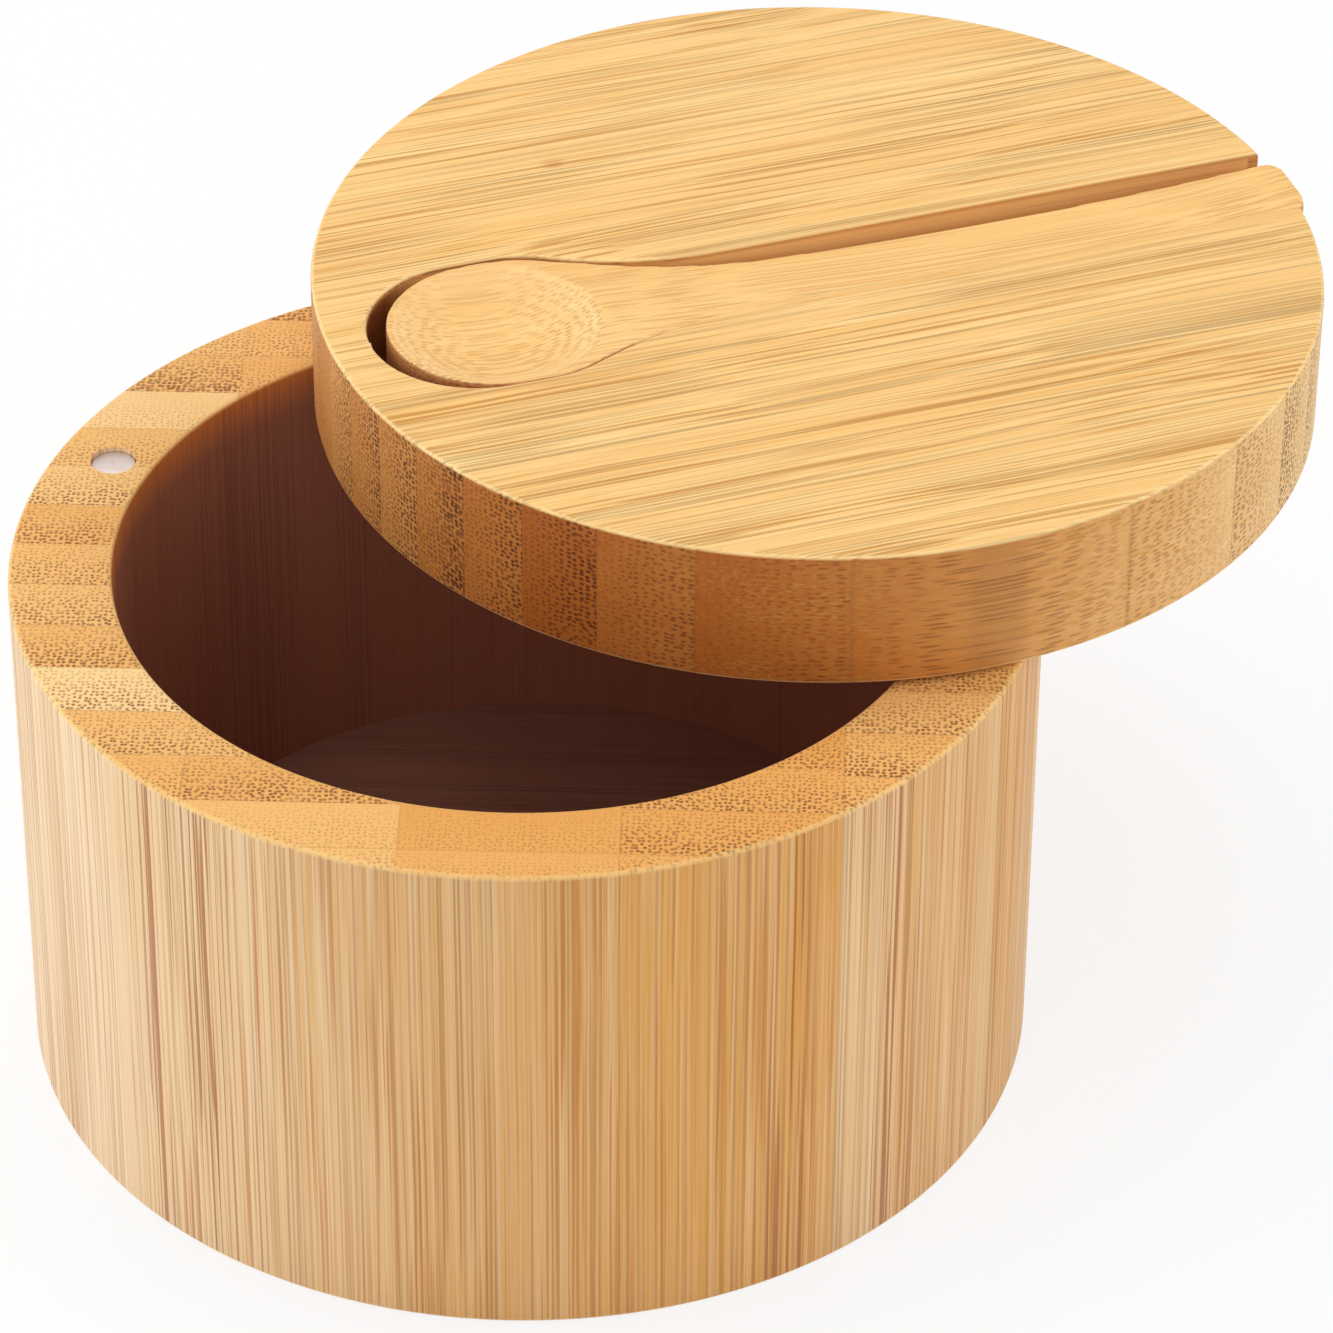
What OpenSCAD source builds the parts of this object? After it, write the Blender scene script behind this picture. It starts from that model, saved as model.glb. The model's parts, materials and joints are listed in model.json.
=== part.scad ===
// Round bamboo salt box. The lid swivels on an upright pin, and a small spoon lies in a slot in its top.
// The origin is the centre of the bottom face. +Z is up, and the pivot pin stands on +X.
// The lid is drawn swung open; its own parts are laid out closed and then turned about the pin.

/* [Base] */
// Outside diameter of the base and of the lid
base_d = 90; // [80:1:120]
// Height of the base, from the table to its rim
base_h = 48.6; // [40:0.1:90]
// Thickness of the round wall
wall = 9; // [8:0.5:14]
// Thickness of the glued-in floor
floor_t = 6; // [4:0.5:9]
// Width of the ledge that the floor is glued up against
floor_ledge = 3; // [1.5:0.5:5]
// Chamfer on the turned edges of the base and of the lid
edge = 0.5; // [0.2:0.1:1]

/* [Bamboo strips] */
// Width of one upright stave of the base
stave_w = 18.3; // [14:0.1:24]
// Thickness of one stave
stave_t = 6; // [5:0.1:8]
// Direction of the rows of staves, counted from +X
stave_turn = 16; // [0:1:45]
// How far the columns of staves lie off the axis
column_shift = 0.35; // [-2:0.05:2]
// How far the rows of staves lie off the axis
row_shift = 0.5; // [-2:0.1:2]
// The same in the outermost column on the right, which holds the pin
pin_row_shift = -0.4; // [-2:0.1:2]
// Thickness of one strip of the lid
strip_t = 5.5; // [4.5:0.1:8]
// Place of the lid's seam that is nearest to its middle
strip_shift = -0.8; // [-2:0.1:2]
// Thinnest piece that is left at an edge: a thinner one stays part of its neighbour
thinnest = 1.5; // [1.2:0.1:2]
// Thickness of the glue line between two pieces
glue_line = 0.05; // [0.02:0.01:0.1]

/* [Lid] */
// Thickness of the lid
lid_t = 13.2; // [12:0.1:20]
// Gap between the rim and the underside of the lid, which the washer fills
lid_gap = 0.4; // [0.3:0.1:1]
// How far the lid is drawn swung open, clockwise from above
lid_open = 53.4; // [0:0.1:126]

/* [Pivot] */
// Diameter of the steel pin, which stands in the middle of the wall
pin_d = 4; // [3:0.1:5]
// Length of the pin that is glued into the base
pin_below = 20; // [10:0.5:30]
// Length of the pin that stands above the rim
pin_above = 9; // [5:0.5:10]
// Radial play of the lid on the pin
pin_play = 0.05; // [0.02:0.01:0.1]
// Space over the pin's end, inside the lid
pin_end_space = 1; // [0.5:0.1:1.5]
// Outside diameter of the washer on the pin
washer_d = 7.6; // [6:0.1:7.8]

/* [Magnets] */
// Diameter of the two disc magnets
magnet_d = 4; // [3:0.1:5]
// Thickness of one magnet
magnet_t = 3; // [1.5:0.1:4]
// Distance from the outside of the base to the magnets' centre
magnet_inset = 5.3; // [4:0.1:5.4]
// Direction of the magnets from the axis, counted from the pin
magnet_turn = 176.2; // [170:0.1:190]
// How far a magnet lies below the face that it is let into
magnet_recess = 0.4; // [0.1:0.1:0.8]

/* [Slot] */
// Depth of the slot in the lid's top
slot_depth = 8.4; // [7.5:0.1:10]
// How far the slot's round end lies off the middle of the lid
slot_side = -0.3; // [-1:0.1:1]
// Turn of the slot and the spoon against the strips of the lid
slot_turn = 0.7; // [0:0.1:1.5]
// Gap on each side between the handle and the slot
handle_gap = 1.05; // [0.9:0.05:2]
// How much wider the slot is at the rim than at the neck
slot_flare = 1.2; // [0:0.1:2]
// Gap on each side between the spoon's bowl and the slot
bowl_gap = 0.3; // [0.25:0.05:1]
// Radius of the hollow curve at the slot's neck
slot_neck_r = 28; // [20:1:28]
// Thickness of the land between the slot's round end and the rim
slot_land = 3.7; // [2:0.1:6]

/* [Spoon] */
// Gap between the spoon's tip and the slot's round end
tip_gap = 1.7; // [0.5:0.1:2.5]
// How far the spoon lies off the middle of its slot
spoon_side = 0.15; // [0:0.05:0.2]
// How far the handle stands out past the rim
handle_proud = 0.6; // [0:0.1:2]
// Width of the spoon's bowl
bowl_w = 19.2; // [16:0.1:21]
// Length of the straight sides of the bowl
bowl_run = 2.2; // [0.5:0.1:4]
// Width of the handle
handle_w = 7.8; // [5:0.1:8.6]
// Radius of the corners at the end of the handle
handle_corner = 1.2; // [0.5:0.1:2.4]
// Radius of the hollow curve between the bowl and the handle
neck_r = 46; // [40:1:60]
// Thickness of the handle
handle_t = 5.8; // [4:0.1:6.2]
// How far the handle's top dips below the lid's top
handle_dip = 1.2; // [0.4:0.1:1.8]
// Width of the rim round the bowl's hollow
bowl_rim = 0.5; // [0.4:0.1:2]
// Depth of the hollow
hollow_depth = 3.4; // [2:0.1:4]
// Thickness of wood round the hollow, before the flat underneath
bowl_wall = 5.4; // [4.8:0.1:7]

/* [Hidden] */
$fn = 180;
// Sides of the long, nearly flat arcs of the handle
long_arc_fn = 720;
// Longest straight step of an outline's arcs, and the fewest steps of one arc
arc_step = 1.5;
fewest_steps = 4;
// How far a cutting shape runs past a face
through = 1;

// Base
base_r = base_d / 2;
cavity_r = base_r - wall;
floor_r = cavity_r + floor_ledge;
pivot_r = base_r - wall / 2;
magnet_r = base_r - magnet_inset;
magnet_hole_r = magnet_d / 2 + glue_line;
magnet_pocket = magnet_t + magnet_recess;

// Lid, in its own upright coordinates over the base
lid_z = base_h + lid_gap;
lid_top = lid_z + lid_t;
pin_hole_depth = pin_above - lid_gap + pin_end_space;

// Slot and spoon, laid out along the Y axis and then turned and moved together
slot_tip_y = slot_land - base_r;
spoon_tip_y = slot_tip_y + tip_gap;
spoon_end_y = base_r + handle_proud;
bowl_r = bowl_w / 2;
bowl_y = spoon_tip_y + bowl_r + bowl_run / 2;
hollow_r = bowl_r - bowl_rim;
hollow_ball_r = (pow(hollow_r, 2) + pow(hollow_depth, 2)) / (2 * hollow_depth);
dip_start_y = bowl_y + bowl_r;
dip_half = (spoon_end_y - dip_start_y) / 2;
dip_r = (pow(dip_half, 2) + pow(handle_dip, 2)) / (2 * handle_dip);
slot_half_w = handle_w / 2 + handle_gap;
slot_bowl_r = bowl_r + bowl_gap;
slot_bowl_run = bowl_run + tip_gap;

bamboo_side = [0.90, 0.76, 0.54];
bamboo_top = [0.95, 0.78, 0.45];
bamboo_spoon = [0.94, 0.76, 0.50];
bamboo_dark = [0.55, 0.38, 0.24];
steel = [0.70, 0.70, 0.72];
nickel = [0.82, 0.80, 0.82];
nylon = [0.92, 0.91, 0.88];

// Edges of glued pieces of one thickness between two faces, and from a first seam outwards to a face.
// No piece gets thinner than allowed.
function edges(low, high, pitch, shift) =
    let (first = ceil((low + thinnest - shift) / pitch), last = floor((high - thinnest - shift) / pitch))
    concat([low], [for (k = [first : last]) shift + k * pitch], [high]);
function outward(start, face, pitch) =
    concat([for (k = [0 : floor((face - thinnest - start) / pitch)]) start + k * pitch], [face]);
function half_chord(r, d) = sqrt(max(0, r * r - d * d));
function arc_steps(r, turn) = max(fewest_steps, ceil(r * abs(turn) * PI / 180 / arc_step));
function arc(centre, r, from, to) =
    let (steps = arc_steps(r, to - from))
    [for (k = [0 : steps]) let (a = from + (to - from) * k / steps) centre + r * [cos(a), sin(a)]];
function mirrored(points) = [for (k = [len(points) - 1 : -1 : 0]) [-points[k][0], points[k][1]]];

// Left is towards the magnets, and right is towards the pin. Pieces count outwards from the middle.
middle_column = [column_shift - stave_w / 2, column_shift + stave_w / 2];
left_columns = -outward(-middle_column[0], base_r, stave_w);
right_columns = outward(middle_column[1], base_r, stave_w);
left_strips = -outward(-strip_shift, base_r, strip_t);
right_strips = outward(strip_shift, base_r, strip_t);
function side_names(name, side_edges) = [for (i = [1 : len(side_edges) - 1]) str(name, i)];

// Base: staves of upright bamboo, glued into columns, turned round and bored through
module base_ring() {
    rotate_extrude()
        polygon([
            [floor_r, 0],
            [base_r - edge, 0],
            [base_r, edge],
            [base_r, base_h - edge],
            [base_r - edge, base_h],
            [cavity_r + edge, base_h],
            [cavity_r, base_h - edge],
            [cavity_r, floor_t],
            [floor_r, floor_t]
        ]);
}

module at_rim_magnet() {
    rotate([0, 0, magnet_turn])
        translate([magnet_r, 0, 0])
            children();
}

module base_drilled() {
    difference() {
        base_ring();
        translate([pivot_r, 0, base_h - pin_below])
            cylinder(r = pin_d / 2 + glue_line, h = pin_below + through);
        at_rim_magnet()
            translate([0, 0, base_h - magnet_pocket])
                cylinder(r = magnet_hole_r, h = magnet_pocket + through);
    }
}

// One stave: what is left of a square strip after turning and boring
module stave(x_edges, y_edges) {
    intersection() {
        base_drilled();
        rotate([0, 0, stave_turn])
            translate([min(x_edges) + glue_line / 2, min(y_edges) + glue_line / 2, -through])
                cube([
                    abs(x_edges[1] - x_edges[0]) - glue_line,
                    abs(y_edges[1] - y_edges[0]) - glue_line,
                    base_h + 2 * through
                ]);
    }
}

// The rows run right across a column beside the cavity, and form two groups in a column that the cavity cuts
module stave_column(x_edges, shift) {
    nearest = x_edges[0] * x_edges[1] < 0 ? 0 : min(abs(x_edges[0]), abs(x_edges[1]));
    farthest = max(abs(x_edges[0]), abs(x_edges[1]));
    outer_y = half_chord(base_r, nearest);
    inner_y = half_chord(cavity_r, farthest);
    groups = inner_y > 0 ? [[-outer_y, -inner_y], [inner_y, outer_y]] : [[-outer_y, outer_y]];
    color(bamboo_side)
        for (group = groups) {
            rows = edges(group[0], group[1], stave_t, shift);
            for (k = [1 : len(rows) - 1])
                stave(x_edges, [rows[k - 1], rows[k]]);
        }
}

module floor_disc() {
    color(bamboo_dark)
        cylinder(r = floor_r - glue_line, h = floor_t);
}

module pivot_pin() {
    color(steel)
        translate([pivot_r, 0, base_h - pin_below])
            cylinder(d = pin_d, h = pin_below + pin_above);
}

module pivot_washer() {
    color(nylon)
        translate([pivot_r, 0, base_h])
            difference() {
                cylinder(d = washer_d, h = lid_gap);
                translate([0, 0, -through])
                    cylinder(r = pin_d / 2 + pin_play, h = lid_gap + 2 * through);
            }
}

module rim_magnet() {
    color(nickel)
        at_rim_magnet()
            translate([0, 0, base_h - magnet_pocket])
                cylinder(d = magnet_d, h = magnet_t);
}

// Lid: turns everything that belongs to it about the pin
module swung_open() {
    translate([pivot_r, 0, 0])
        rotate([0, 0, -lid_open])
            translate([-pivot_r, 0, 0])
                children();
}

// Outline of a paddle along Y: a round bowl, a hollow neck on each side and a straight handle.
// The right side runs from the tip to the end of the handle, and the left side is its mirror image.
module paddle(tip_y, r, run, half_w, end_half_w, neck, end_y) {
    bowl_low_y = tip_y + r;
    bowl_high_y = bowl_low_y + run;
    neck_x = half_w + neck;
    neck_y = bowl_high_y + sqrt(pow(r + neck, 2) - pow(neck_x, 2));
    neck_turn = atan2(neck_y - bowl_high_y, neck_x);
    corner_x = end_half_w - handle_corner;
    right_side = concat(
        arc([0, bowl_low_y], r, -90, 0),
        arc([0, bowl_high_y], r, 0, neck_turn),
        arc([neck_x, neck_y], neck, 180 + neck_turn, 180),
        arc([corner_x, end_y - handle_corner], handle_corner, 0, 90)
    );
    polygon(concat(right_side, mirrored(right_side)));
}

// Puts the slot and the spoon in their place in the lid
module along_slot() {
    translate([slot_side, bowl_y, 0])
        rotate([0, 0, -slot_turn])
            translate([0, -bowl_y, 0])
                children();
}

module slot() {
    translate([0, 0, lid_top - slot_depth])
        linear_extrude(slot_depth + through)
            paddle(
                tip_y = slot_tip_y,
                r = slot_bowl_r,
                run = slot_bowl_run,
                half_w = slot_half_w,
                end_half_w = slot_half_w + slot_flare / 2,
                neck = slot_neck_r,
                end_y = spoon_end_y + 2 * handle_corner
            );
}

module lid_board() {
    difference() {
        translate([0, 0, lid_z])
            rotate_extrude()
                polygon([
                    [0, 0],
                    [base_r - edge, 0],
                    [base_r, edge],
                    [base_r, lid_t - edge],
                    [base_r - edge, lid_t],
                    [0, lid_t]
                ]);
        along_slot()
            slot();
        translate([pivot_r, 0, lid_z - through])
            cylinder(r = pin_d / 2 + pin_play, h = pin_hole_depth + through);
        at_rim_magnet()
            translate([0, 0, lid_z - through])
                cylinder(r = magnet_hole_r, h = magnet_pocket + through);
    }
}

// One strip of the lid, which stands on edge and runs along the slot
module lid_strip(x_edges) {
    color(bamboo_top)
        swung_open()
            intersection() {
                lid_board();
                translate([min(x_edges) + glue_line / 2, -base_d, lid_z - through])
                    cube([abs(x_edges[1] - x_edges[0]) - glue_line, 2 * base_d, lid_t + 2 * through]);
            }
}

module lid_magnet() {
    color(nickel)
        swung_open()
            at_rim_magnet()
                translate([0, 0, lid_z + magnet_recess])
                    cylinder(d = magnet_d, h = magnet_t);
}

// Spoon: the handle is a band between two long arcs, and the bowl is a ball cut flat underneath
module spoon_outline() {
    paddle(
        tip_y = spoon_tip_y,
        r = bowl_r,
        run = bowl_run,
        half_w = handle_w / 2,
        end_half_w = handle_w / 2,
        neck = neck_r,
        end_y = spoon_end_y
    );
}

module dip_arc(r) {
    translate([0, dip_start_y + dip_half, dip_r - handle_dip])
        rotate([0, 90, 0])
            cylinder(r = r, h = base_d, center = true, $fn = long_arc_fn);
}

module hollow_ball(r) {
    translate([0, bowl_y, hollow_ball_r - hollow_depth])
        sphere(r = r);
}

module spoon_upright() {
    difference() {
        intersection() {
            translate([0, 0, -slot_depth])
                linear_extrude(slot_depth)
                    spoon_outline();
            union() {
                hollow_ball(hollow_ball_r + bowl_wall);
                dip_arc(dip_r + handle_t);
            }
        }
        hollow_ball(hollow_ball_r);
        dip_arc(dip_r);
    }
}

module spoon() {
    color(bamboo_spoon)
        swung_open()
            along_slot()
                translate([spoon_side, 0, lid_top])
                    spoon_upright();
}

stave_column(middle_column, row_shift);  // staves_middle
for (i = [1 : len(left_columns) - 1])
    stave_column([left_columns[i], left_columns[i - 1]], row_shift);
for (i = [1 : len(right_columns) - 1])
    stave_column([right_columns[i - 1], right_columns[i]], i == len(right_columns) - 1 ? pin_row_shift : row_shift);
floor_disc();
pivot_pin();
pivot_washer();
rim_magnet();
lid_magnet();
for (i = [1 : len(left_strips) - 1])
    lid_strip([left_strips[i], left_strips[i - 1]]);
for (i = [1 : len(right_strips) - 1])
    lid_strip([right_strips[i - 1], right_strips[i]]);
spoon();
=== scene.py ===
# %% [markdown]
# # A bamboo salt box with a swivel lid
#
# This lesson dresses a small round salt box. Its wall and its lid are glued up from strips of bamboo, and
# a little spoon lies in a slot in the lid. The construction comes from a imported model, so every size here
# is either read from that model or is a named value. All lengths in the file are metres unless a name
# ends in `_mm`.

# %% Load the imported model
import json
import math

import bmesh
import bpy
from mathutils import Matrix, Vector

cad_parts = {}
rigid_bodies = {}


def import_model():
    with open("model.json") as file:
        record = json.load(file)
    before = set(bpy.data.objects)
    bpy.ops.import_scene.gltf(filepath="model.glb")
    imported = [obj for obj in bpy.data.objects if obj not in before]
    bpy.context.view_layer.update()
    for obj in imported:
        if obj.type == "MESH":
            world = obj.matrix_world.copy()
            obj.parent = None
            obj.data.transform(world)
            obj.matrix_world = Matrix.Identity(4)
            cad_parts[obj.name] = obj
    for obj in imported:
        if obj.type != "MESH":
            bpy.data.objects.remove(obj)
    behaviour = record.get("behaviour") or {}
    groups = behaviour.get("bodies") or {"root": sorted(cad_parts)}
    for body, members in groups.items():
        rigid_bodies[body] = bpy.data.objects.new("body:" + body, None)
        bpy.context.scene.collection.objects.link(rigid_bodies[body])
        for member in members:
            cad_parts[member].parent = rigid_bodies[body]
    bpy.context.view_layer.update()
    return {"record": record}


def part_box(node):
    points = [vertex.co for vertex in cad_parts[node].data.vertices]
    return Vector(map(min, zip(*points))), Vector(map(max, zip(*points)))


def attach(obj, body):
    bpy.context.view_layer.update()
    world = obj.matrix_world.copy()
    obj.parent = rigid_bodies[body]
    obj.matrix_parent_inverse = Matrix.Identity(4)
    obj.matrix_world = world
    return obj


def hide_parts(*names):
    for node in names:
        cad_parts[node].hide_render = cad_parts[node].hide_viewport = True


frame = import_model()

MM = 0.001

# %% [markdown]
# ## Sizes
#
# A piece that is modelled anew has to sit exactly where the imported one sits.

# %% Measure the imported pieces
def centre_of(node):
    """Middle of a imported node's box."""
    low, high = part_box(node)
    return (low + high) / 2


base_r = -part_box("staves_left_2")[0].x
base_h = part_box("staves_middle")[1].z
floor_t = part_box("floor_disc")[1].z
floor_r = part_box("floor_disc")[1].x
wall = 9 * MM
cavity_r = base_r - wall
edge_round = 0.5 * MM

pin_place = centre_of("pivot_pin")
pin_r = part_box("pivot_pin")[1].x - pin_place.x
pin_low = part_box("pivot_pin")[0].z
pin_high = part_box("pivot_pin")[1].z
magnet_place = centre_of("rim_magnet")
magnet_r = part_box("rim_magnet")[1].x - magnet_place.x

lid_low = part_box("lid_strip_left_1")[0].z
lid_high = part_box("lid_strip_left_1")[1].z
lid_t = lid_high - lid_low
print(f"base {2000 * base_r:.1f} x {1000 * base_h:.1f} mm, lid {1000 * lid_t:.1f} mm thick")

# %% [markdown]
# ## Camera
#
# The camera comes first, because everything else is judged through it. Its place, turn, tilt and lens
# were solved from the round rims in the photograph. The turn about the view axis is well under a degree,
# but without it the two rims don't line up.

# %% Add the camera
camera_place = Vector((0.14774, -0.43065, 0.37268))
camera_azimuth = math.radians(17.40)
camera_elevation = math.radians(36.42)
camera_roll = math.radians(0.404)
camera_lens_mm = 173.56

bpy.ops.object.camera_add(location=camera_place)
camera = bpy.context.object
camera.name = "photo_camera"
camera.matrix_world = (
    Matrix.Translation(camera_place)
    @ Matrix.Rotation(camera_azimuth, 4, "Z")
    @ Matrix.Rotation(math.pi / 2 - camera_elevation, 4, "X")
    @ Matrix.Rotation(camera_roll, 4, "Z")
)
camera.data.lens = camera_lens_mm
camera.data.sensor_width = 36
camera.data.clip_start = 10 * MM
bpy.context.scene.camera = camera
print("camera stands", round(camera_place.length, 3), "m from the box")

# %% [markdown]
# ## Wiring nodes
#
# A material is a small machine of nodes and wires. `put` adds one node with its settings and all that
# feeds it, and `maths` adds one step of arithmetic. A feed is either another node's output or a plain
# value, so one line reads like one sentence. The floor, the sky and every finish are wired this way.

# %% Helpers for wiring nodes
WHITE = (1, 1, 1, 1)


def empty_tree(owner):
    """Turns nodes on for a material or a sky, and starts from an empty tree."""
    owner.use_nodes = True
    owner.node_tree.nodes.clear()
    return owner.node_tree


def wire(tree, socket, feed):
    """Links a socket to another socket, or sets its value."""
    if isinstance(feed, bpy.types.NodeSocket):
        tree.links.new(feed, socket)
    else:
        socket.default_value = feed


def put(tree, kind, feeds=None, **settings):
    """Adds a shader node with its settings and feeds."""
    node = tree.nodes.new(kind)
    for key, value in settings.items():
        setattr(node, key, value)
    for key, feed in (feeds or {}).items():
        wire(tree, node.inputs[key], feed)
    return node


def maths(tree, operation, a, b=0.0, c=0.0):
    """One step of arithmetic."""
    feeds = {0: a, 1: b, 2: c} if operation == "MULTIPLY_ADD" else {0: a, 1: b}
    return put(tree, "ShaderNodeMath", feeds, operation=operation).outputs[0]


# %% [markdown]
# ## Floor
#
# The box stands on plain white paper that is lit like everything else, so it takes the shadow of the
# box. To the camera, and in a mirror or a glass, most of the paper is shown as pure white instead. That
# keeps the background white with no extra light on the object.

# %% Add the floor
PAPER_GREY = (0.93, 0.93, 0.93, 1)
PAPER_WHITE_SHARE = 0.8


def looked_at(tree):
    """1 for what the camera, a mirror or a glass sees, and 0 for the light that reaches the object."""
    rays = put(tree, "ShaderNodeLightPath").outputs
    mirrored = maths(tree, "ADD", rays["Is Glossy Ray"], rays["Is Transmission Ray"])
    return maths(tree, "ADD", rays["Is Camera Ray"], mirrored)


bpy.ops.mesh.primitive_circle_add(vertices=96, radius=3, fill_type="NGON", location=(0, 0, 0))
paper = bpy.context.object
paper.name = "paper_floor"
paper_finish = bpy.data.materials.new("white_paper")
tree = empty_tree(paper_finish)
paper_lit = put(tree, "ShaderNodeBsdfDiffuse", {"Color": PAPER_GREY}).outputs[0]
paper_shown = put(tree, "ShaderNodeEmission", {"Color": WHITE, "Strength": 1}).outputs[0]
share = maths(tree, "MULTIPLY", looked_at(tree), PAPER_WHITE_SHARE)
paper_mix = put(tree, "ShaderNodeMixShader", {"Fac": share, 1: paper_lit, 2: paper_shown})
put(tree, "ShaderNodeOutputMaterial", {"Surface": paper_mix.outputs[0]})
paper.data.materials.append(paper_finish)
print("paper:", round(paper.dimensions.x, 1), "m across")

# %% [markdown]
# ## Lamps and sky
#
# A broad lamp above, one in front and one at each side give the soft light of a small studio. They are
# large and close to one metre away, so every shadow has a soft edge. The sky fills the shadows a little,
# and looks white where it is seen.

# %% Add the lamps and the sky
SKY_FILL = 0.36


def add_lamp(name, place, size, watts):
    """A square soft lamp that shines at the middle of the box."""
    bpy.ops.object.light_add(type="AREA", location=place)
    lamp = bpy.context.object
    lamp.name = name
    lamp.data.shape = "SQUARE"
    lamp.data.size = size
    lamp.data.energy = watts
    aim = Vector((0, 0, base_h)) - Vector(place)
    lamp.rotation_euler = aim.to_track_quat("-Z", "Y").to_euler()
    print(name, watts, "W")


add_lamp("lamp_above", (-0.15, 0.25, 1.1), 0.9, 5.9)
add_lamp("lamp_front", (0.1, -0.95, 0.65), 0.9, 3.7)
add_lamp("lamp_left", (-0.95, -0.15, 0.4), 0.8, 4.2)
add_lamp("lamp_right", (0.95, 0.25, 0.4), 0.8, 3.7)

sky = bpy.data.worlds.new("studio")
bpy.context.scene.world = sky
tree = empty_tree(sky)
sky_light = put(tree, "ShaderNodeBackground", {"Color": WHITE, "Strength": SKY_FILL}).outputs[0]
sky_shown = put(tree, "ShaderNodeBackground", {"Color": WHITE, "Strength": 1}).outputs[0]
sky_mix = put(tree, "ShaderNodeMixShader", {"Fac": looked_at(tree), 1: sky_light, 2: sky_shown})
put(tree, "ShaderNodeOutputWorld", {"Surface": sky_mix.outputs[0]})
bpy.context.scene.view_settings.view_transform = "Standard"

# %% [markdown]
# ## Working by hand, in code
#
# Modelling by hand is a rhythm: pick an object, open it, choose a few faces or edges, do one thing.
# These helpers are that rhythm. `choose` gets each face, edge or corner and answers yes or no, so
# a selection is always made by place or direction, and never by number.

# %% Helpers for picking and opening
def pick(piece):
    """Makes one object the only selected one, and the active one."""
    for other in bpy.context.selected_objects:
        other.select_set(False)
    piece.select_set(True)
    bpy.context.view_layer.objects.active = piece


def open_piece(piece, what="FACE", choose=None):
    """Opens a piece in edit mode with all of it selected, or only what choose says."""
    pick(piece)
    bpy.ops.object.mode_set(mode="EDIT")
    bpy.ops.mesh.select_mode(type=what)
    bpy.ops.mesh.select_all(action="SELECT" if choose is None else "DESELECT")
    if choose is None:
        return
    mesh = bmesh.from_edit_mesh(piece.data)
    for part in {"VERT": mesh.verts, "EDGE": mesh.edges, "FACE": mesh.faces}[what]:
        if choose(part):
            part.select_set(True)
    mesh.select_flush_mode()
    bmesh.update_edit_mesh(piece.data)


def close_piece():
    """Leaves edit mode."""
    bpy.ops.object.mode_set(mode="OBJECT")


# %% [markdown]
# Two helpers judge places: how far a point is from the upright axis, and whether two lengths agree. The
# other four work on whole pieces. A piece gets its turn and its place in its mesh, so that its object
# stays at the origin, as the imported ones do. A cut is a boolean that is applied at once.

# %% Helpers for measuring, placing and cutting
def radius_of(point):
    """Distance of a point from the upright axis."""
    return math.hypot(point.x, point.y)


def near(value, target, slack=0.02 * MM):
    """Whether a length is the target, apart from rounding."""
    return abs(value - target) < slack


def settle(piece, place):
    """Puts a piece in its place and applies it, so that its object stays at the origin."""
    piece.matrix_world = place
    pick(piece)
    bpy.ops.object.transform_apply(location=True, rotation=True, scale=True)


def copy_of(piece, name):
    """A copy with a mesh of its own."""
    double = piece.copy()
    double.data = piece.data.copy()
    double.name = name
    bpy.context.scene.collection.objects.link(double)
    return double


def carve(piece, tool, how="DIFFERENCE"):
    """Cuts, joins or keeps the overlap of two pieces, and throws the tool away."""
    pick(piece)
    change = piece.modifiers.new("carve", "BOOLEAN")
    change.operation = how
    change.object = tool
    change.solver = "EXACT"
    bpy.ops.object.modifier_apply(modifier=change.name)
    bpy.data.objects.remove(tool)


def slab_of(piece, name, direction, low, high):
    """A copy of what lies between two upright planes across a level direction."""
    slab = copy_of(piece, name)
    bpy.ops.mesh.primitive_cube_add(
        size=1,
        scale=(high - low, 4 * base_r, 4 * base_h),
        location=direction * (low + high) / 2,
        rotation=(0, 0, math.atan2(direction.y, direction.x)),
    )
    carve(slab, bpy.context.object, "INTERSECT")
    return slab


# %% [markdown]
# ## What a strip of bamboo carries
#
# Every strip is cut from another culm, so its grain has nothing to do with its neighbour's. Each corner of
# a strip therefore carries four notes, in millimetres, that the finish reads later:
#
# - `fibre`: where the corner is in the strip's own block of bamboo, with the grain along Z,
# - `seams`: how far it is from the strip's two broad glued faces, and from the culm's skin,
# - `strip`: how dark its end grain is, how coarse it is, and how far the corner is from a mark, which is a
#   knot along a lid strip or a nicked place across a stave,
# - `sides`: how far it is from the strip's two narrow glued faces, and how dark its long grain is.
#
# All four change evenly over a strip, so they stay exact in the middle of even a large face. Strips that
# have no mark and no narrow glued faces near them note a distance that is far outside the box.

# %% Write the notes of a strip
FAR_MM = 500.0
BLOCK_STEP = Vector((37.3, 91.7, 53.9))


def note(piece, name, values):
    """Stores one vector per corner of a piece under a name."""
    layer = piece.data.attributes.new(name, "FLOAT_VECTOR", "POINT")
    layer.data.foreach_set("vector", [number for value in values for number in value])


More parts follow.
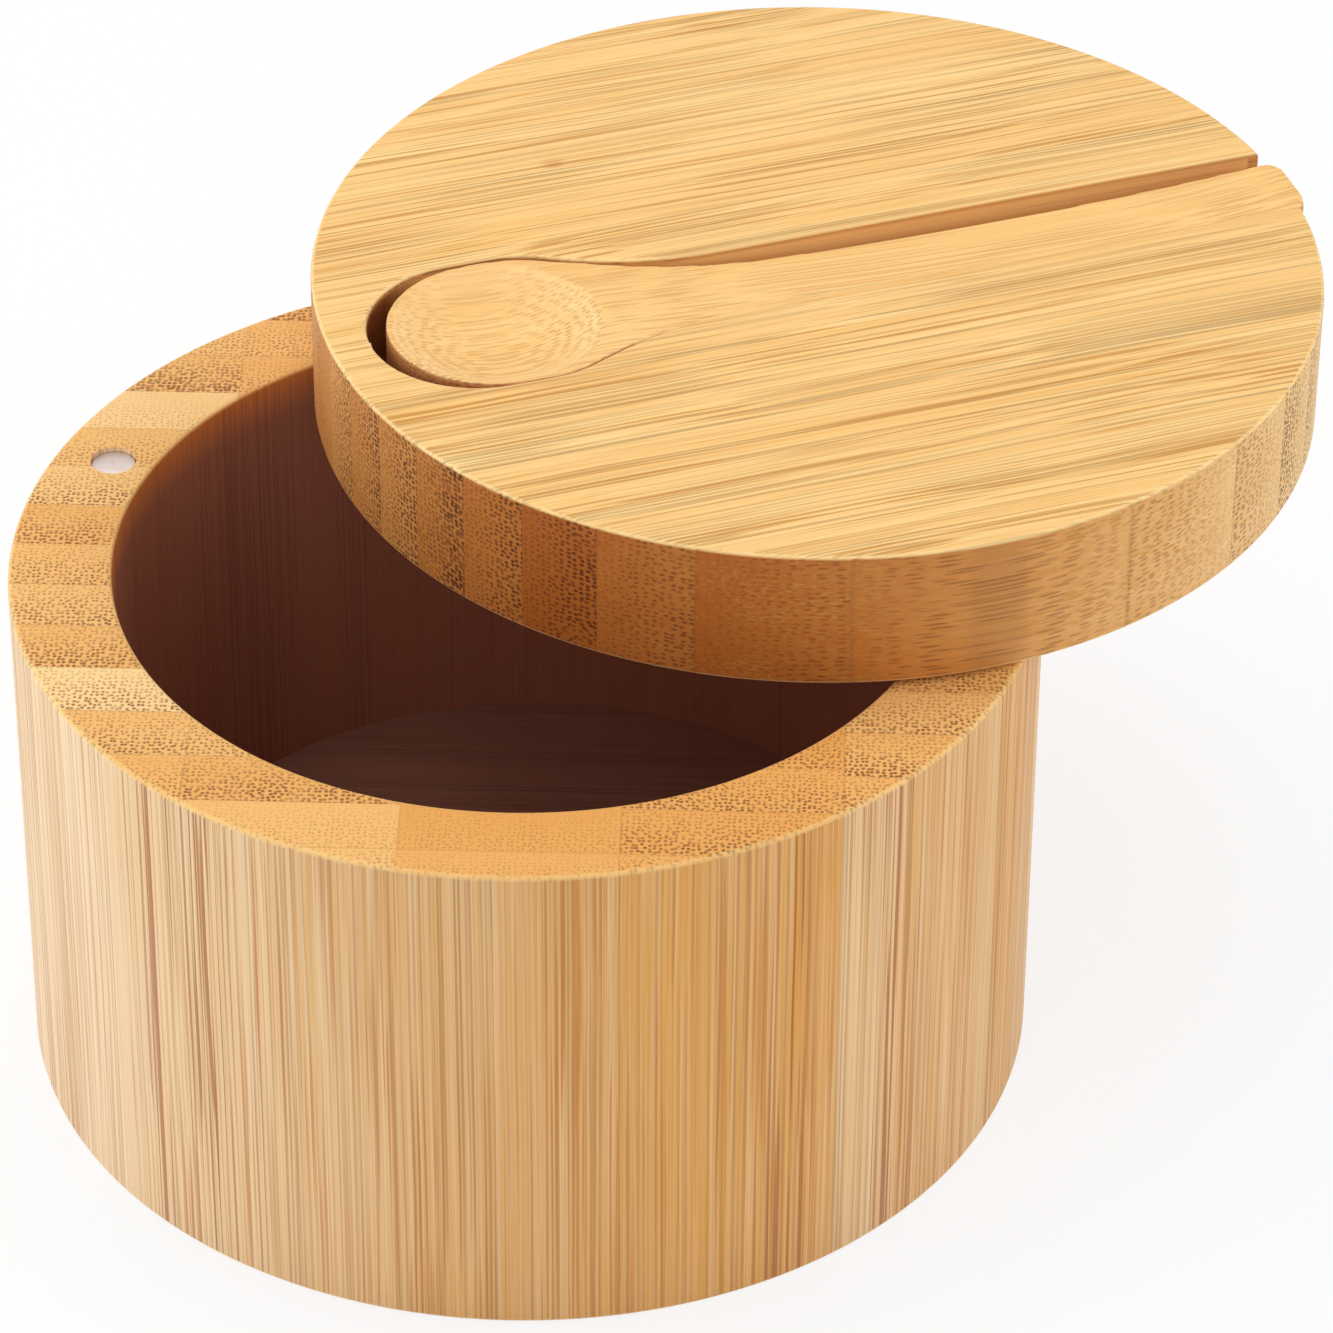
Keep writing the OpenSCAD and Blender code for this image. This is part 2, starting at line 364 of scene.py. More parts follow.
def note_strip(
    piece, across, along, low, high, number, end_tone, long_tone, coarse,
    flip=False, mark_mm=FAR_MM, sides=None,
):
    """Writes the notes of one strip. Across runs through its thickness, and along follows its grain."""
    width_way = along.cross(across)
    block = BLOCK_STEP * number
    near_tone, far_tone_and_light = end_tone
    fibres = []
    seams = []
    facts = []
    gaps = []
    for corner in piece.data.vertices:
        depth = corner.co.dot(across)
        width = corner.co.dot(width_way)
        length = corner.co.dot(along)
        skin = (depth - low) / (high - low)
        here = min(1, max(0, 0.5 + length / (2 * base_r)))
        fibres.append(Vector((depth, width, length)) / MM + block)
        seams.append(((depth - low) / MM, (high - depth) / MM, 1 - skin if flip else skin))
        mark = (width if sides else length) / MM - mark_mm
        facts.append((near_tone + (far_tone_and_light - near_tone) * here, coarse, mark))
        side_gaps = ((width - sides[0]) / MM, (sides[1] - width) / MM) if sides else (FAR_MM, FAR_MM)
        over = (sides[1] - width) / (sides[1] - sides[0]) if sides else 0
        gaps.append((*side_gaps, long_tone[0] + (long_tone[1] - long_tone[0]) * over))
    note(piece, "fibre", fibres)
    note(piece, "seams", seams)
    note(piece, "strip", facts)
    note(piece, "sides", gaps)


# %% [markdown]
# ## The wall of the base
#
# The real wall is turned and bored from a block of upright staves. It is drawn here as a turner would
# see it, as a profile that goes round: one loop of corners is extruded up the outside, in over the rim,
# down the cavity, out under the ledge for the floor, and down again, and the last loop is bridged to the
# first.

# %% Turn the wall
ROUND_STEPS = 240


def next_loop(old_r, new_r, rise):
    """Extrudes the selected loop to a new radius and height."""
    bpy.ops.mesh.extrude_region_move(TRANSFORM_OT_translate={"value": (0, 0, rise)})
    share = new_r / old_r
    bpy.ops.transform.resize(value=(share, share, 1), center_override=(0, 0, 0))


def close_ring():
    """Bridges the last loop to the first, and turns all faces outwards."""
    bpy.ops.mesh.select_mode(type="EDGE")
    bpy.ops.mesh.select_all(action="DESELECT")
    bpy.ops.mesh.select_non_manifold()
    bpy.ops.mesh.bridge_edge_loops()
    bpy.ops.mesh.select_all(action="SELECT")
    bpy.ops.mesh.normals_make_consistent(inside=False)
    close_piece()


bpy.ops.mesh.primitive_circle_add(vertices=ROUND_STEPS, radius=base_r, location=(0, 0, 0))
ring = bpy.context.object
open_piece(ring, "VERT")
next_loop(base_r, base_r, base_h)
next_loop(base_r, cavity_r, 0)
next_loop(cavity_r, cavity_r, floor_t - base_h)
next_loop(cavity_r, floor_r, 0)
next_loop(floor_r, floor_r, -floor_t)
close_ring()
print("ring:", len(ring.data.polygons), "faces")

# %% [markdown]
# A turner breaks the sharp edges at the rim and at the foot while the ring is still whole. So the bevel
# comes before the cutting into staves, and it runs over every glue line without a step. The holes for
# the pin and the magnet are bored in the whole ring too, as on the real box.

# %% Break the turned edges
def is_turned_edge(edge):
    """Rim and foot edges of the ring, which a turner breaks."""
    a, b = (corner.co for corner in edge.verts)
    if not near(a.z, b.z) or not near(radius_of(a), radius_of(b)):
        return False
    at_rim = near(a.z, base_h)
    at_foot = near(a.z, 0) and near(radius_of(a), base_r)
    return at_rim or at_foot


open_piece(ring, "EDGE", is_turned_edge)
bpy.ops.mesh.bevel(offset=edge_round, segments=3, affect="EDGES")
close_piece()
print("ring with broken edges:", len(ring.data.polygons), "faces")


# %% [markdown]
# A drill is a cylinder that is taken away. It starts a millimetre outside the wood, because a cut that
# ends exactly on a face leaves a skin. Each hole is wider than its part by the thickness of the glue.

# %% Drill the pin's hole and the magnet's pocket
def drill(piece, place, r, low, high):
    """Bores an upright hole between two heights."""
    bpy.ops.mesh.primitive_cylinder_add(
        vertices=64, radius=r, depth=high - low, location=(place.x, place.y, (low + high) / 2)
    )
    bit = bpy.context.object
    settle(bit, bit.matrix_world.copy())
    carve(piece, bit)


glue_gap = 0.05 * MM
over_cut = 1 * MM
drill(ring, pin_place, pin_r + glue_gap, pin_low, base_h + over_cut)
drill(ring, magnet_place, magnet_r + glue_gap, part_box("rim_magnet")[0].z, base_h + over_cut)
print("drilled ring:", len(ring.data.polygons), "faces")

# %% [markdown]
# ## Staves
#
# The rows of staves lie at sixteen degrees to the line from the axis to the pin. The ring is sliced
# into columns, and each column into staves, with a plane on every glue line. A sliver at the edge of the
# ring that would be too thin to hold is left on its neighbour.

# %% Find the glue lines
stave_turn = math.radians(16)
stave_t = 6.0 * MM
thinnest = 1.5 * MM
column_way = Vector((math.cos(stave_turn), math.sin(stave_turn), 0))
row_way = Vector((-math.sin(stave_turn), math.cos(stave_turn), 0))
up = Vector((0, 0, 1))


def cuts_between(low, high, pitch, shift):
    """Glue lines between two limits, none closer to a limit than the thinnest piece allows."""
    first = math.ceil((low + thinnest - shift) / pitch)
    last = math.floor((high - thinnest - shift) / pitch)
    return [low] + [shift + k * pitch for k in range(first, last + 1)] + [high]


print("a full column has", len(cuts_between(-base_r, base_r, stave_t, 0)) - 1, "rows")

# %% [markdown]
# Every stave gets its own tone and coarseness, picked from the end grain on the rim: one is nearly
# white, one is so coarse that its pores can be counted. Tones run from -1, pale, to 1, deep. On the side
# of the wall the tone changes evenly across a column. From left to right the wall runs pale, deep, then a
# little lighter: partly the staves' own colour, and partly painted sheen at the two sides of the wall.

# %% Choose the staves' tones
# Column: its edges in mm, the shift of its rows, where its skin was nicked, and the tone of its side at
# both edges, which holds painted sheen as well as the staves' own colour
columns = {
    "staves_left_2": (-45, -27.1, 0.5, -29.2, (-0.8, -0.35)),
    "staves_left_1": (-27.1, -8.8, 0.5, -25.4, (-0.3, 0.25)),
    "staves_middle": (-8.8, 9.5, 0.5, FAR_MM, (0.3, 0.75)),
    "staves_right_1": (9.5, 27.8, 0.5, 23.4, (0.85, 0.8)),
    "staves_right_2": (27.8, 45, -0.4, 32.4, (0.6, 0.2)),
}
# Stave, from the near side: tone of its end grain, how much darker its side is, coarseness
stave_looks = {
    "staves_left_2": [
        (0.1, 0.1, 0.5), (-0.1, -0.1, 0.7), (-0.8, 0.0, 0.7), (0.0, 0.05, 0.9),
        (-0.2, 0.0, 0.8), (-0.1, 0.1, 0.6), (0.1, 0.0, 0.8), (-0.4, 0.1, 0.7),
        (-0.2, 0.0, 0.45), (-0.7, 0.1, 0.25), (-0.1, 0.0, 1.3), (-0.2, 0.1, 0.5),
    ],
    "staves_left_1": [
        (-0.2, 0.05, 0.4), (-0.12, 0.0, 0.3), (0.2, 0.1, 0.9), (-0.1, 0.0, 0.6),
        (0.0, 0.0, 0.5), (-0.1, 0.1, 0.5), (0.1, 0.0, 1.1), (0.0, 0.1, 0.7),
    ],
    "staves_middle": [
        (0.25, 0.0, 0.25), (0.4, 0.05, 0.25), (0.0, 0.0, 0.5), (0.2, -0.1, 0.5), (0.1, -0.2, 0.5),
    ],
    "staves_right_1": [
        (0.3, 0.0, 0.5), (0.45, 0.0, 0.8), (0.3, -0.1, 0.7), (0.4, 0.0, 0.6),
        (0.2, 0.0, 0.5), (0.4, -0.2, 0.5), (0.1, -0.3, 0.5), (0.2, -0.2, 0.5),
    ],
    "staves_right_2": [
        (0.1, -0.5, 0.8), (0.0, 0.0, 0.9), (-0.2, 0.05, 0.8), (0.0, 0.3, 0.8),
        (0.0, 0.2, 0.5), (0.1, -0.1, 0.5), (-0.1, 0.1, 0.5), (0.0, 0.0, 0.5),
        (0.1, -0.1, 0.5), (0.0, -0.2, 0.5), (0.0, 0.0, 0.5), (-0.1, 0.1, 0.5),
    ],
}
print("staves:", sum(len(looks) for looks in stave_looks.values()))

# %% [markdown]
# The slices of one column are joined to one piece again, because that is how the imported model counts
# them. Each stave keeps its closed shell and its notes. A column that crosses the cavity comes in two
# parts, one before the cavity and one behind it, so its rows are counted in each part.

# %% Slice the ring into staves
def row_groups(column):
    """The lowest and highest place of each part of a column, across its rows."""
    places = [corner.co.dot(row_way) for corner in column.data.vertices]
    inner = min(abs(place) for place in places)
    if inner < 8 * MM:
        return [(min(places), max(places))]
    return [(min(places), -inner), (inner, max(places))]


def joined(pieces, name, node):
    """Makes one piece of several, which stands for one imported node."""
    pick(pieces[0])
    for piece in pieces:
        piece.select_set(True)
    bpy.ops.object.join()
    whole = bpy.context.object
    whole.name = name
    whole["node"] = node
    print(name, "has", len(pieces), "strips and", len(whole.data.polygons), "faces")
    return whole


stave_columns = []
stave_number = 0
# Each column's side tone holds painted sheen as well as the staves' own colour.
for name, (left, right, shift, nick, (left_tone_and_sheen, right_tone_and_sheen)) in columns.items():
    column = slab_of(ring, name + "_column", column_way, left * MM, right * MM)
    staves = []
    for low, high in row_groups(column):
        rows = cuts_between(low, high, stave_t, shift * MM)
        for row_low, row_high in zip(rows, rows[1:]):
            end_tone, darker, coarse = stave_looks[name][len(staves)]
            stave = slab_of(column, f"{name}_stave", row_way, row_low, row_high)
            note_strip(
                stave, row_way, up, row_low, row_high, stave_number,
                (end_tone, end_tone), (left_tone_and_sheen + darker, right_tone_and_sheen + darker), coarse,
                flip=True, mark_mm=-nick, sides=(-right * MM, -left * MM),
            )
            stave_number += 1
            staves.append(stave)
    bpy.data.objects.remove(column)
    stave_columns.append(joined(staves, "bamboo_" + name, name))
bpy.data.objects.remove(ring)

# %% [markdown]
# ## The lid board
#
# The lid is a thick disc with a paddle-shaped slot. The slot's outline is drawn the way a maker would
# scribe it: from the tip, round the bowl, back along the hollow neck and up the straight handle. A
# single corner is the scriber's point. It is spun about a centre for an arc and extruded for a line.

# %% Helpers for scribing
ARC_STEP = 0.8 * MM


def scriber():
    """Where the one selected corner is."""
    corners = bmesh.from_edit_mesh(bpy.context.object.data).verts
    return [corner.co.copy() for corner in corners if corner.select][0]


def spin_corner(x, y, degrees):
    """Draws an arc with the selected corner, about a centre."""
    tip = scriber()
    reach = math.hypot(tip.x - x, tip.y - y)
    steps = max(4, round(reach * abs(math.radians(degrees)) / ARC_STEP))
    bpy.ops.mesh.spin(steps=steps, angle=math.radians(-degrees), center=(x, y, 0), axis=(0, 0, 1))


def draw_to(x, y):
    """Draws a straight line with the selected corner."""
    tip = scriber()
    bpy.ops.mesh.extrude_vertices_move(TRANSFORM_OT_translate={"value": (x - tip.x, y - tip.y, 0)})


# %% [markdown]
# Only half of the paddle is drawn, and a mirror adds the other half. The flat outline is then thickened
# downwards. The spoon and its slot come from the same helper with slightly different sizes, so the curve
# of the slot's neck follows the spoon.

# %% Scribe a paddle outline and thicken it
corner_r = 1.2 * MM


def paddle(name, tip_y, bowl_r, run, half_w, end_half_w, neck_r, end_y, depth):
    """A flat paddle along Y, with its top at height 0."""
    neck_x = half_w + neck_r
    high_y = tip_y + bowl_r + run
    neck_y = high_y + math.sqrt((bowl_r + neck_r) ** 2 - neck_x ** 2)
    neck_turn = math.degrees(math.atan2(neck_y - high_y, neck_x))
    bpy.ops.mesh.primitive_plane_add(size=1 * MM, location=(0, 0, 0))
    piece = bpy.context.object
    piece.name = name
    open_piece(piece, "VERT")
    bpy.ops.mesh.merge(type="CENTER")
    bpy.ops.transform.translate(value=(0, tip_y, 0))
    spin_corner(0, tip_y + bowl_r, 90)
    draw_to(bowl_r, high_y)
    spin_corner(0, high_y, neck_turn)
    spin_corner(neck_x, neck_y, -neck_turn)
    draw_to(end_half_w, end_y - corner_r)
    spin_corner(end_half_w - corner_r, end_y - corner_r, 90)
    draw_to(0, end_y)
    close_piece()
    half = piece.modifiers.new("other_half", "MIRROR")
    half.merge_threshold = 0.001 * MM
    bpy.ops.object.modifier_apply(modifier=half.name)
    open_piece(piece, "VERT")
    bpy.ops.mesh.remove_doubles(threshold=0.001 * MM)
    bpy.ops.mesh.edge_face_add()
    bpy.ops.mesh.extrude_region_move(TRANSFORM_OT_translate={"value": (0, 0, -depth)})
    bpy.ops.mesh.select_all(action="SELECT")
    bpy.ops.mesh.normals_make_consistent(inside=False)
    close_piece()
    return piece


# %% [markdown]
# The slot hugs the spoon on one side and is wider on the other, where a fingertip gets under the handle.
# So it is cut in two halves, with a wide outline and a snug one. Both start above the lid, and run past
# its rim, so that the slot is open at the handle's end. The slot also runs a little askew in the lid, by
# less than a degree.

# %% Make the two halves of the slot
bowl_y = -28.9 * MM
slot_depth = 8.4 * MM
slot_tip_y = -41.3 * MM
past_rim_y = 48 * MM
wide_plan = paddle(
    "wide_plan", slot_tip_y, 9.9 * MM, 3.9 * MM, 4.95 * MM, 5.55 * MM, 28 * MM, past_rim_y,
    slot_depth + over_cut,
)
snug_plan = paddle(
    "snug_plan", slot_tip_y, 9.82 * MM, 3.7 * MM, 4.12 * MM, 4.12 * MM, 46 * MM, past_rim_y,
    slot_depth + over_cut,
)
print("slot outline:", len(wide_plan.data.vertices), "corners")

slot_lean = Matrix.Translation((-0.3 * MM, bowl_y, 0)) @ Matrix.Rotation(math.radians(-0.7), 4, "Z")
along_slot = slot_lean @ Matrix.Translation((0, -bowl_y, 0))
slot_reach = 20 * MM
halves_overlap = 0.01 * MM
slot_halves = [
    slab_of(wide_plan, "wide_half", Vector((1, 0, 0)), -slot_reach, halves_overlap),
    slab_of(snug_plan, "snug_half", Vector((1, 0, 0)), 0, slot_reach),
]
bpy.data.objects.remove(wide_plan)
bpy.data.objects.remove(snug_plan)

# %% [markdown]
# The board is modelled closed, over the base, where its numbers are round, and it is swung open about the
# pin once it is finished. Its edges are broken last, after the slot is cut, so that the slot's own edge
# is broken as well. The holes in the underside take the pin's end and the second magnet.

# %% Cut the slot and break the edges
bpy.ops.mesh.primitive_cylinder_add(
    vertices=ROUND_STEPS, radius=base_r, depth=lid_t, location=(0, 0, (lid_low + lid_high) / 2)
)
board = bpy.context.object
settle(board, board.matrix_world.copy())
for half in slot_halves:
    settle(half, Matrix.Translation((0, 0, lid_high + over_cut)) @ along_slot)
    carve(board, half)


def is_top_or_foot_edge(edge):
    """Edges between the top or the underside of the board and an upright face."""
    if len(edge.link_faces) != 2:
        return False
    a, b = (abs(face.normal.z) for face in edge.link_faces)
    level = near(edge.verts[0].co.z, edge.verts[1].co.z)
    outside = near(edge.verts[0].co.z, lid_high) or near(edge.verts[0].co.z, lid_low)
    return level and outside and max(a, b) > 0.9 and min(a, b) < 0.1


open_piece(board, "EDGE", is_top_or_foot_edge)
bpy.ops.mesh.bevel(offset=0.4 * MM, segments=3, affect="EDGES")
close_piece()
pin_axis = Vector((pin_place.x, pin_place.y, 0))
pin_end_space = 1 * MM
magnet_pocket = 3.4 * MM
drill(board, pin_axis, pin_r + glue_gap, lid_low - over_cut, pin_high + pin_end_space)
drill(board, magnet_place, magnet_r + glue_gap, lid_low - over_cut, lid_low + magnet_pocket)
print("board:", len(board.data.polygons), "faces")

# %% [markdown]
# ## Strips of the lid
#
# The board is glued up from strips on edge, and the grain runs along the slot. The glue lines cross the
# whole board, so they show on the top as changes of tone, and on the rim as upright seams. Each strip
# has a tone at both ends. The far ends of the right strips are paler: partly their own tone, and partly
# painted light where the right lamp falls on the side of the lid.

# %% Choose the lid strips' tones
strip_t = 5.5 * MM
strip_shift = -0.8 * MM
side_way = Vector((1, 0, 0))
grain_way = Vector((0, 1, 0))

# Strip, counted outwards from the middle: tone of its near end, its far end and its top, and coarseness
strip_looks = {
    "lid_strip_left_": [
        (0.2, 0.0, 0.1, 0.4), (0.1, 0.1, 0.0, 0.5), (0.1, -0.1, 0.2, 0.5), (-0.1, 0.2, 0.1, 0.6),
        (0.2, 0.1, -0.1, 0.5), (0.0, 0.0, 0.1, 0.5), (0.1, 0.2, 0.0, 0.6), (0.0, 0.1, 0.1, 0.5),
    ],
    # The far-end tones of the right strips hold painted light as well as their own tone.
    "lid_strip_right_": [
        (0.0, 0.0, -0.1, 0.8), (0.2, -0.2, 0.0, 0.9), (0.15, -0.5, 0.1, 1.0), (0.5, -0.8, -0.1, 1.35),
        (0.75, -0.9, 0.1, 0.8), (1.35, -1.0, 0.0, 0.8), (1.15, -1.05, 0.1, 0.5), (1.7, -1.4, 0.0, 0.35),
        (1.95, -1.7, 0.1, 0.35),
    ],
}
print("lid strips:", {side: len(looks) for side, looks in strip_looks.items()})

# %% [markdown]
# Strips are counted outwards from the glue line nearest to the middle. The skin side of a left strip lies
# on its left, and of a right strip on its right. One strip carries a small knot. The finished strips
# swing open about the pin, by as much as the joint still has to close.

# %% Slice the board and swing it open
KNOT_STRIP = "lid_strip_left_5"
KNOT_MM = -17
FIRST_LID_BLOCK = 100

lid_joint = [joint for joint in frame["record"]["behaviour"]["joints"] if joint["name"] == "lid_swivel"][0]
lid_open = math.radians(lid_joint["range_deg"][1])
swing = (
    Matrix.Translation(pin_axis) @ Matrix.Rotation(-lid_open, 4, "Z") @ Matrix.Translation(-pin_axis)
)
edges = cuts_between(-base_r, base_r, strip_t, strip_shift)
middle = min(range(len(edges)), key=lambda k: abs(edges[k] - strip_shift))
lid_strips = []
for k in range(len(edges) - 1):
    on_left = k < middle
    side = "lid_strip_left_" if on_left else "lid_strip_right_"
    count = middle - k if on_left else k - middle + 1
    node = f"{side}{count}"
    near_tone, far_tone_and_light, top_tone, coarse = strip_looks[side][count - 1]
    strip = slab_of(board, "bamboo_" + node, side_way, edges[k], edges[k + 1])
    strip["node"] = node
    note_strip(
        strip, side_way, grain_way, edges[k], edges[k + 1], FIRST_LID_BLOCK + k,
        (near_tone, far_tone_and_light), (top_tone, top_tone), coarse, flip=on_left,
        mark_mm=KNOT_MM if node == KNOT_STRIP else FAR_MM,
    )
    settle(strip, swing)
    lid_strips.append(strip)
bpy.data.objects.remove(board)
print(len(lid_strips), "lid strips, the first from", lid_strips[0]["node"])

# %% [markdown]
# ## Spoon
#
# The spoon is the same paddle, a little smaller. A ball scoops the bowl and a huge drum the dip of the
# handle, and a larger ball and drum shape the underside. The radius of a hollow follows from its width
# and its depth, which are what a maker would measure.

# %% Helpers for carving the spoon
def hollow_radius(half_width, depth):
    """Radius of the ball or drum that leaves a hollow of this half width and depth."""
    return (half_width ** 2 + depth ** 2) / (2 * depth)


hollow_y = -29.85 * MM
hollow_depth = 2.7 * MM
rim_r = 9.4 * MM
hollow_r = hollow_radius(rim_r, hollow_depth)
belly_r = 19.3 * MM
belly_z = 10.5 * MM
dip_start_y = -19.3 * MM
dip_half = 32.45 * MM
dip_depth = 1.2 * MM
drum_r = hollow_radius(dip_half, dip_depth)
handle_t = 5.8 * MM
print("the handle's dip is part of a drum of", round(drum_r, 2), "m radius")


def ball(name, r, y, z):
    """A ball over the spoon's bowl."""
    bpy.ops.mesh.primitive_uv_sphere_add(segments=96, ring_count=64, radius=r, location=(0, y, z))
    piece = bpy.context.object
    piece.name = name
    settle(piece, piece.matrix_world.copy())
    return piece


def drum(name, r):
    """A slice of a drum lying across the handle, wide enough for the whole spoon."""
    bpy.ops.mesh.primitive_cylinder_add(
        vertices=720, radius=r, depth=60 * MM,
        location=(0, dip_start_y + dip_half, drum_r - dip_depth), rotation=(0, math.pi / 2, 0),
    )
    piece = bpy.context.object
    piece.name = name
    settle(piece, piece.matrix_world.copy())
    return piece


# %% [markdown]
# The underside is one shape, the belly of the bowl joined to the back of the handle, and the paddle keeps
# only what lies inside it. Then the hollow of the bowl and the dip of the handle are taken away.

# %% Carve the spoon
spoon = paddle(
    "bamboo_spoon", -39.6 * MM, 9.6 * MM, 2.2 * MM, 3.9 * MM, 3.9 * MM, 46 * MM, 45.6 * MM, slot_depth
)
belly = ball("belly", belly_r, bowl_y, belly_z)
carve(belly, drum("handle_back", drum_r + handle_t), "UNION")
carve(spoon, belly, "INTERSECT")
carve(spoon, ball("hollow", hollow_r, hollow_y, hollow_r - hollow_depth))
carve(spoon, drum("handle_dip", drum_r))
print("carved spoon:", len(spoon.data.polygons), "faces")

# %% [markdown]
# Sanding rounds every edge. The solid is turned into even small cells and smoothed, which no bevel could
# do where three curves meet. The cells also give the shallow bowl an even surface. The spoon is put in
# its slot last, a hair off its middle line, where it leans on the slot's near side.

# %% Sand the spoon
SPOON_BLOCK = 140

pick(spoon)
cells = spoon.modifiers.new("cells", "REMESH")
cells.mode = "VOXEL"
cells.voxel_size = 0.2 * MM
bpy.ops.object.modifier_apply(modifier=cells.name)
sanding = spoon.modifiers.new("sanding", "SMOOTH")
sanding.factor = 0.5
sanding.iterations = 18
bpy.ops.object.modifier_apply(modifier=sanding.name)
bpy.ops.object.shade_smooth()
note_strip(spoon, side_way, grain_way, -10 * MM, 10 * MM, SPOON_BLOCK, (0.4, 0.0), (0.0, 0.0), 0.6)
settle(spoon, swing @ along_slot @ Matrix.Translation((0.15 * MM, 0, lid_high)))
spoon["node"] = "spoon"
low, high = Vector(spoon.bound_box[0]), Vector(spoon.bound_box[6])
print("sanded spoon:", len(spoon.data.polygons), "faces, box", [round(1000 * v, 1) for v in (*low, *high)])

# %% [markdown]
# ## Floor, pin and magnets
#
# The parts that are left are turned ones. Each starts as a cylinder of its packed size, gets its broken
# edges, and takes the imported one's place. The helper can also sink a shallow dimple into both ends, as a
# lathe's cut-off leaves one on a steel pin.

# %% Helpers for turned parts
def is_end_at(face, z):
    """The level end face at a height."""
    return abs(face.normal.z) > 0.99 and near(face.calc_center_median().z, z)


def turned_disc(name, node, corners, edge, dimple=0.0):
    """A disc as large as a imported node, with broken edges and a shallow dimple on each end."""
    low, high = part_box(node)
    r = (high.y - low.y) / 2
    bpy.ops.mesh.primitive_cylinder_add(
        vertices=corners, radius=r, depth=high.z - low.z, location=(low + high) / 2
    )
    piece = bpy.context.object
    piece.name = name
    piece["node"] = node
    settle(piece, piece.matrix_world.copy())
    open_piece(piece, "EDGE", lambda e: near(e.verts[0].co.z, e.verts[1].co.z))
    bpy.ops.mesh.bevel(offset=edge, segments=3, affect="EDGES")
    if dimple:
        for z, sign in ((low.z, 1), (high.z, -1)):
            close_piece()
            open_piece(piece, "FACE", lambda face: is_end_at(face, z))
            bpy.ops.mesh.inset(thickness=r * 0.45, depth=0)
            bpy.ops.mesh.inset(thickness=dimple, depth=0)
            bpy.ops.transform.translate(value=(0, 0, sign * dimple))
    close_piece()
    return piece


# %% [markdown]
# The floor is a round of the same board, glued in from below. It is turned whole, then sliced and joined
# like the staves, so that each of its strips has a grain of its own.

# %% Cut the floor
FIRST_FLOOR_BLOCK = 200

floor_round = turned_disc("floor_round", "floor_disc", ROUND_STEPS, 0.2 * MM)
floor_strips = []
floor_edges = cuts_between(-floor_r, floor_r, strip_t, 1.2 * MM)
for low, high in zip(floor_edges, floor_edges[1:]):
    strip = slab_of(floor_round, "floor_strip", row_way, low, high)
    block = FIRST_FLOOR_BLOCK + len(floor_strips)
    note_strip(strip, row_way, column_way, low, high, block, (0.2, 0.2), (0.2, 0.2), 0.4)
    floor_strips.append(strip)
bpy.data.objects.remove(floor_round)
floor_board = joined(floor_strips, "bamboo_floor", "floor_disc")

# %% [markdown]
# The pin is a length of steel rod, and the magnets are two discs that meet when the box is closed, one
# in the rim and one under the lid.

# %% Turn the pin and the magnets
pin = turned_disc("steel_pin", "pivot_pin", 64, 0.25 * MM, 0.2 * MM)
rim_magnet = turned_disc("magnet_in_rim", "rim_magnet", 72, 0.15 * MM)
lid_magnet = turned_disc("magnet_in_lid", "lid_magnet", 72, 0.15 * MM)
print("pin:", len(pin.data.polygons), "faces, each magnet:", len(rim_magnet.data.polygons))

# %% [markdown]
# ## Washer
#
# A nylon washer as thin as a coin keeps the lid off the rim. It is turned like the wall, as a profile
# that goes round, and then broken at its four edges.

# %% Turn the washer
def is_level_ring_edge(edge):
    """Edges that go round the washer, and not across it."""
    a, b = (corner.co for corner in edge.verts)
    return near(a.z, b.z) and near(radius_of(a), radius_of(b))


def washer(name, node, hole_r, edge):
    """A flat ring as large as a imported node."""
    low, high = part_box(node)
    middle = (low + high) / 2
    outer_r = (high.x - low.x) / 2
    bpy.ops.mesh.primitive_circle_add(vertices=72, radius=outer_r, location=(0, 0, low.z))
    piece = bpy.context.object
    piece.name = name
    piece["node"] = node
    open_piece(piece, "VERT")
    next_loop(outer_r, outer_r, high.z - low.z)
    next_loop(outer_r, hole_r, 0)
    next_loop(hole_r, hole_r, low.z - high.z)
    close_ring()
    open_piece(piece, "EDGE", is_level_ring_edge)
    bpy.ops.mesh.bevel(offset=edge, segments=2, affect="EDGES")
    close_piece()
    settle(piece, Matrix.Translation((middle.x, middle.y, 0)))
    return piece


nylon_washer = washer("nylon_washer", "pivot_washer", pin_r + glue_gap, 0.08 * MM)
print("washer:", len(nylon_washer.data.polygons), "faces")

# %% [markdown]
# ## Bamboo, as a shader
#
# Bamboo is pale ground tissue, with dark pores that run along the grain. Cut across, it shows them as dots,
# crowded towards the culm's skin. Cut along, it shows them as fine dashes. One group draws both from
# the same pores: they are a flat pattern of cells across the grain, drawn out along it, and they wander
# a little. The group reads the notes of the strip, and puts out a colour, a roughness and a height. A
# few more helpers keep its wiring short.

# %% Helpers for patterns
def times(tree, *factors):
    """The product of several values."""
    result = factors[0]
    for factor in factors[1:]:
        result = maths(tree, "MULTIPLY", result, factor)
    return result


def between(tree, value, low, high, start=0.0, end=1.0, way="SMOOTHSTEP"):
    """Carries a value from one range to another, held at both ends."""
    feeds = {"Value": value, "From Min": low, "From Max": high, "To Min": start, "To Max": end}
    return put(tree, "ShaderNodeMapRange", feeds, interpolation_type=way).outputs[0]


def blend(tree, share, a, b, way="MIX"):
    """Mixes two colours."""
    node = put(tree, "ShaderNodeMix", {0: share, 6: a, 7: b}, data_type="RGBA", blend_type=way)
    return node.outputs[2]


def vector(tree, operation, a, b, c=(0, 0, 0)):
    """One step of arithmetic on vectors."""
    feeds = {0: a, 1: b, 2: c} if operation == "MULTIPLY_ADD" else {0: a, 1: b}
    return put(tree, "ShaderNodeVectorMath", feeds, operation=operation)


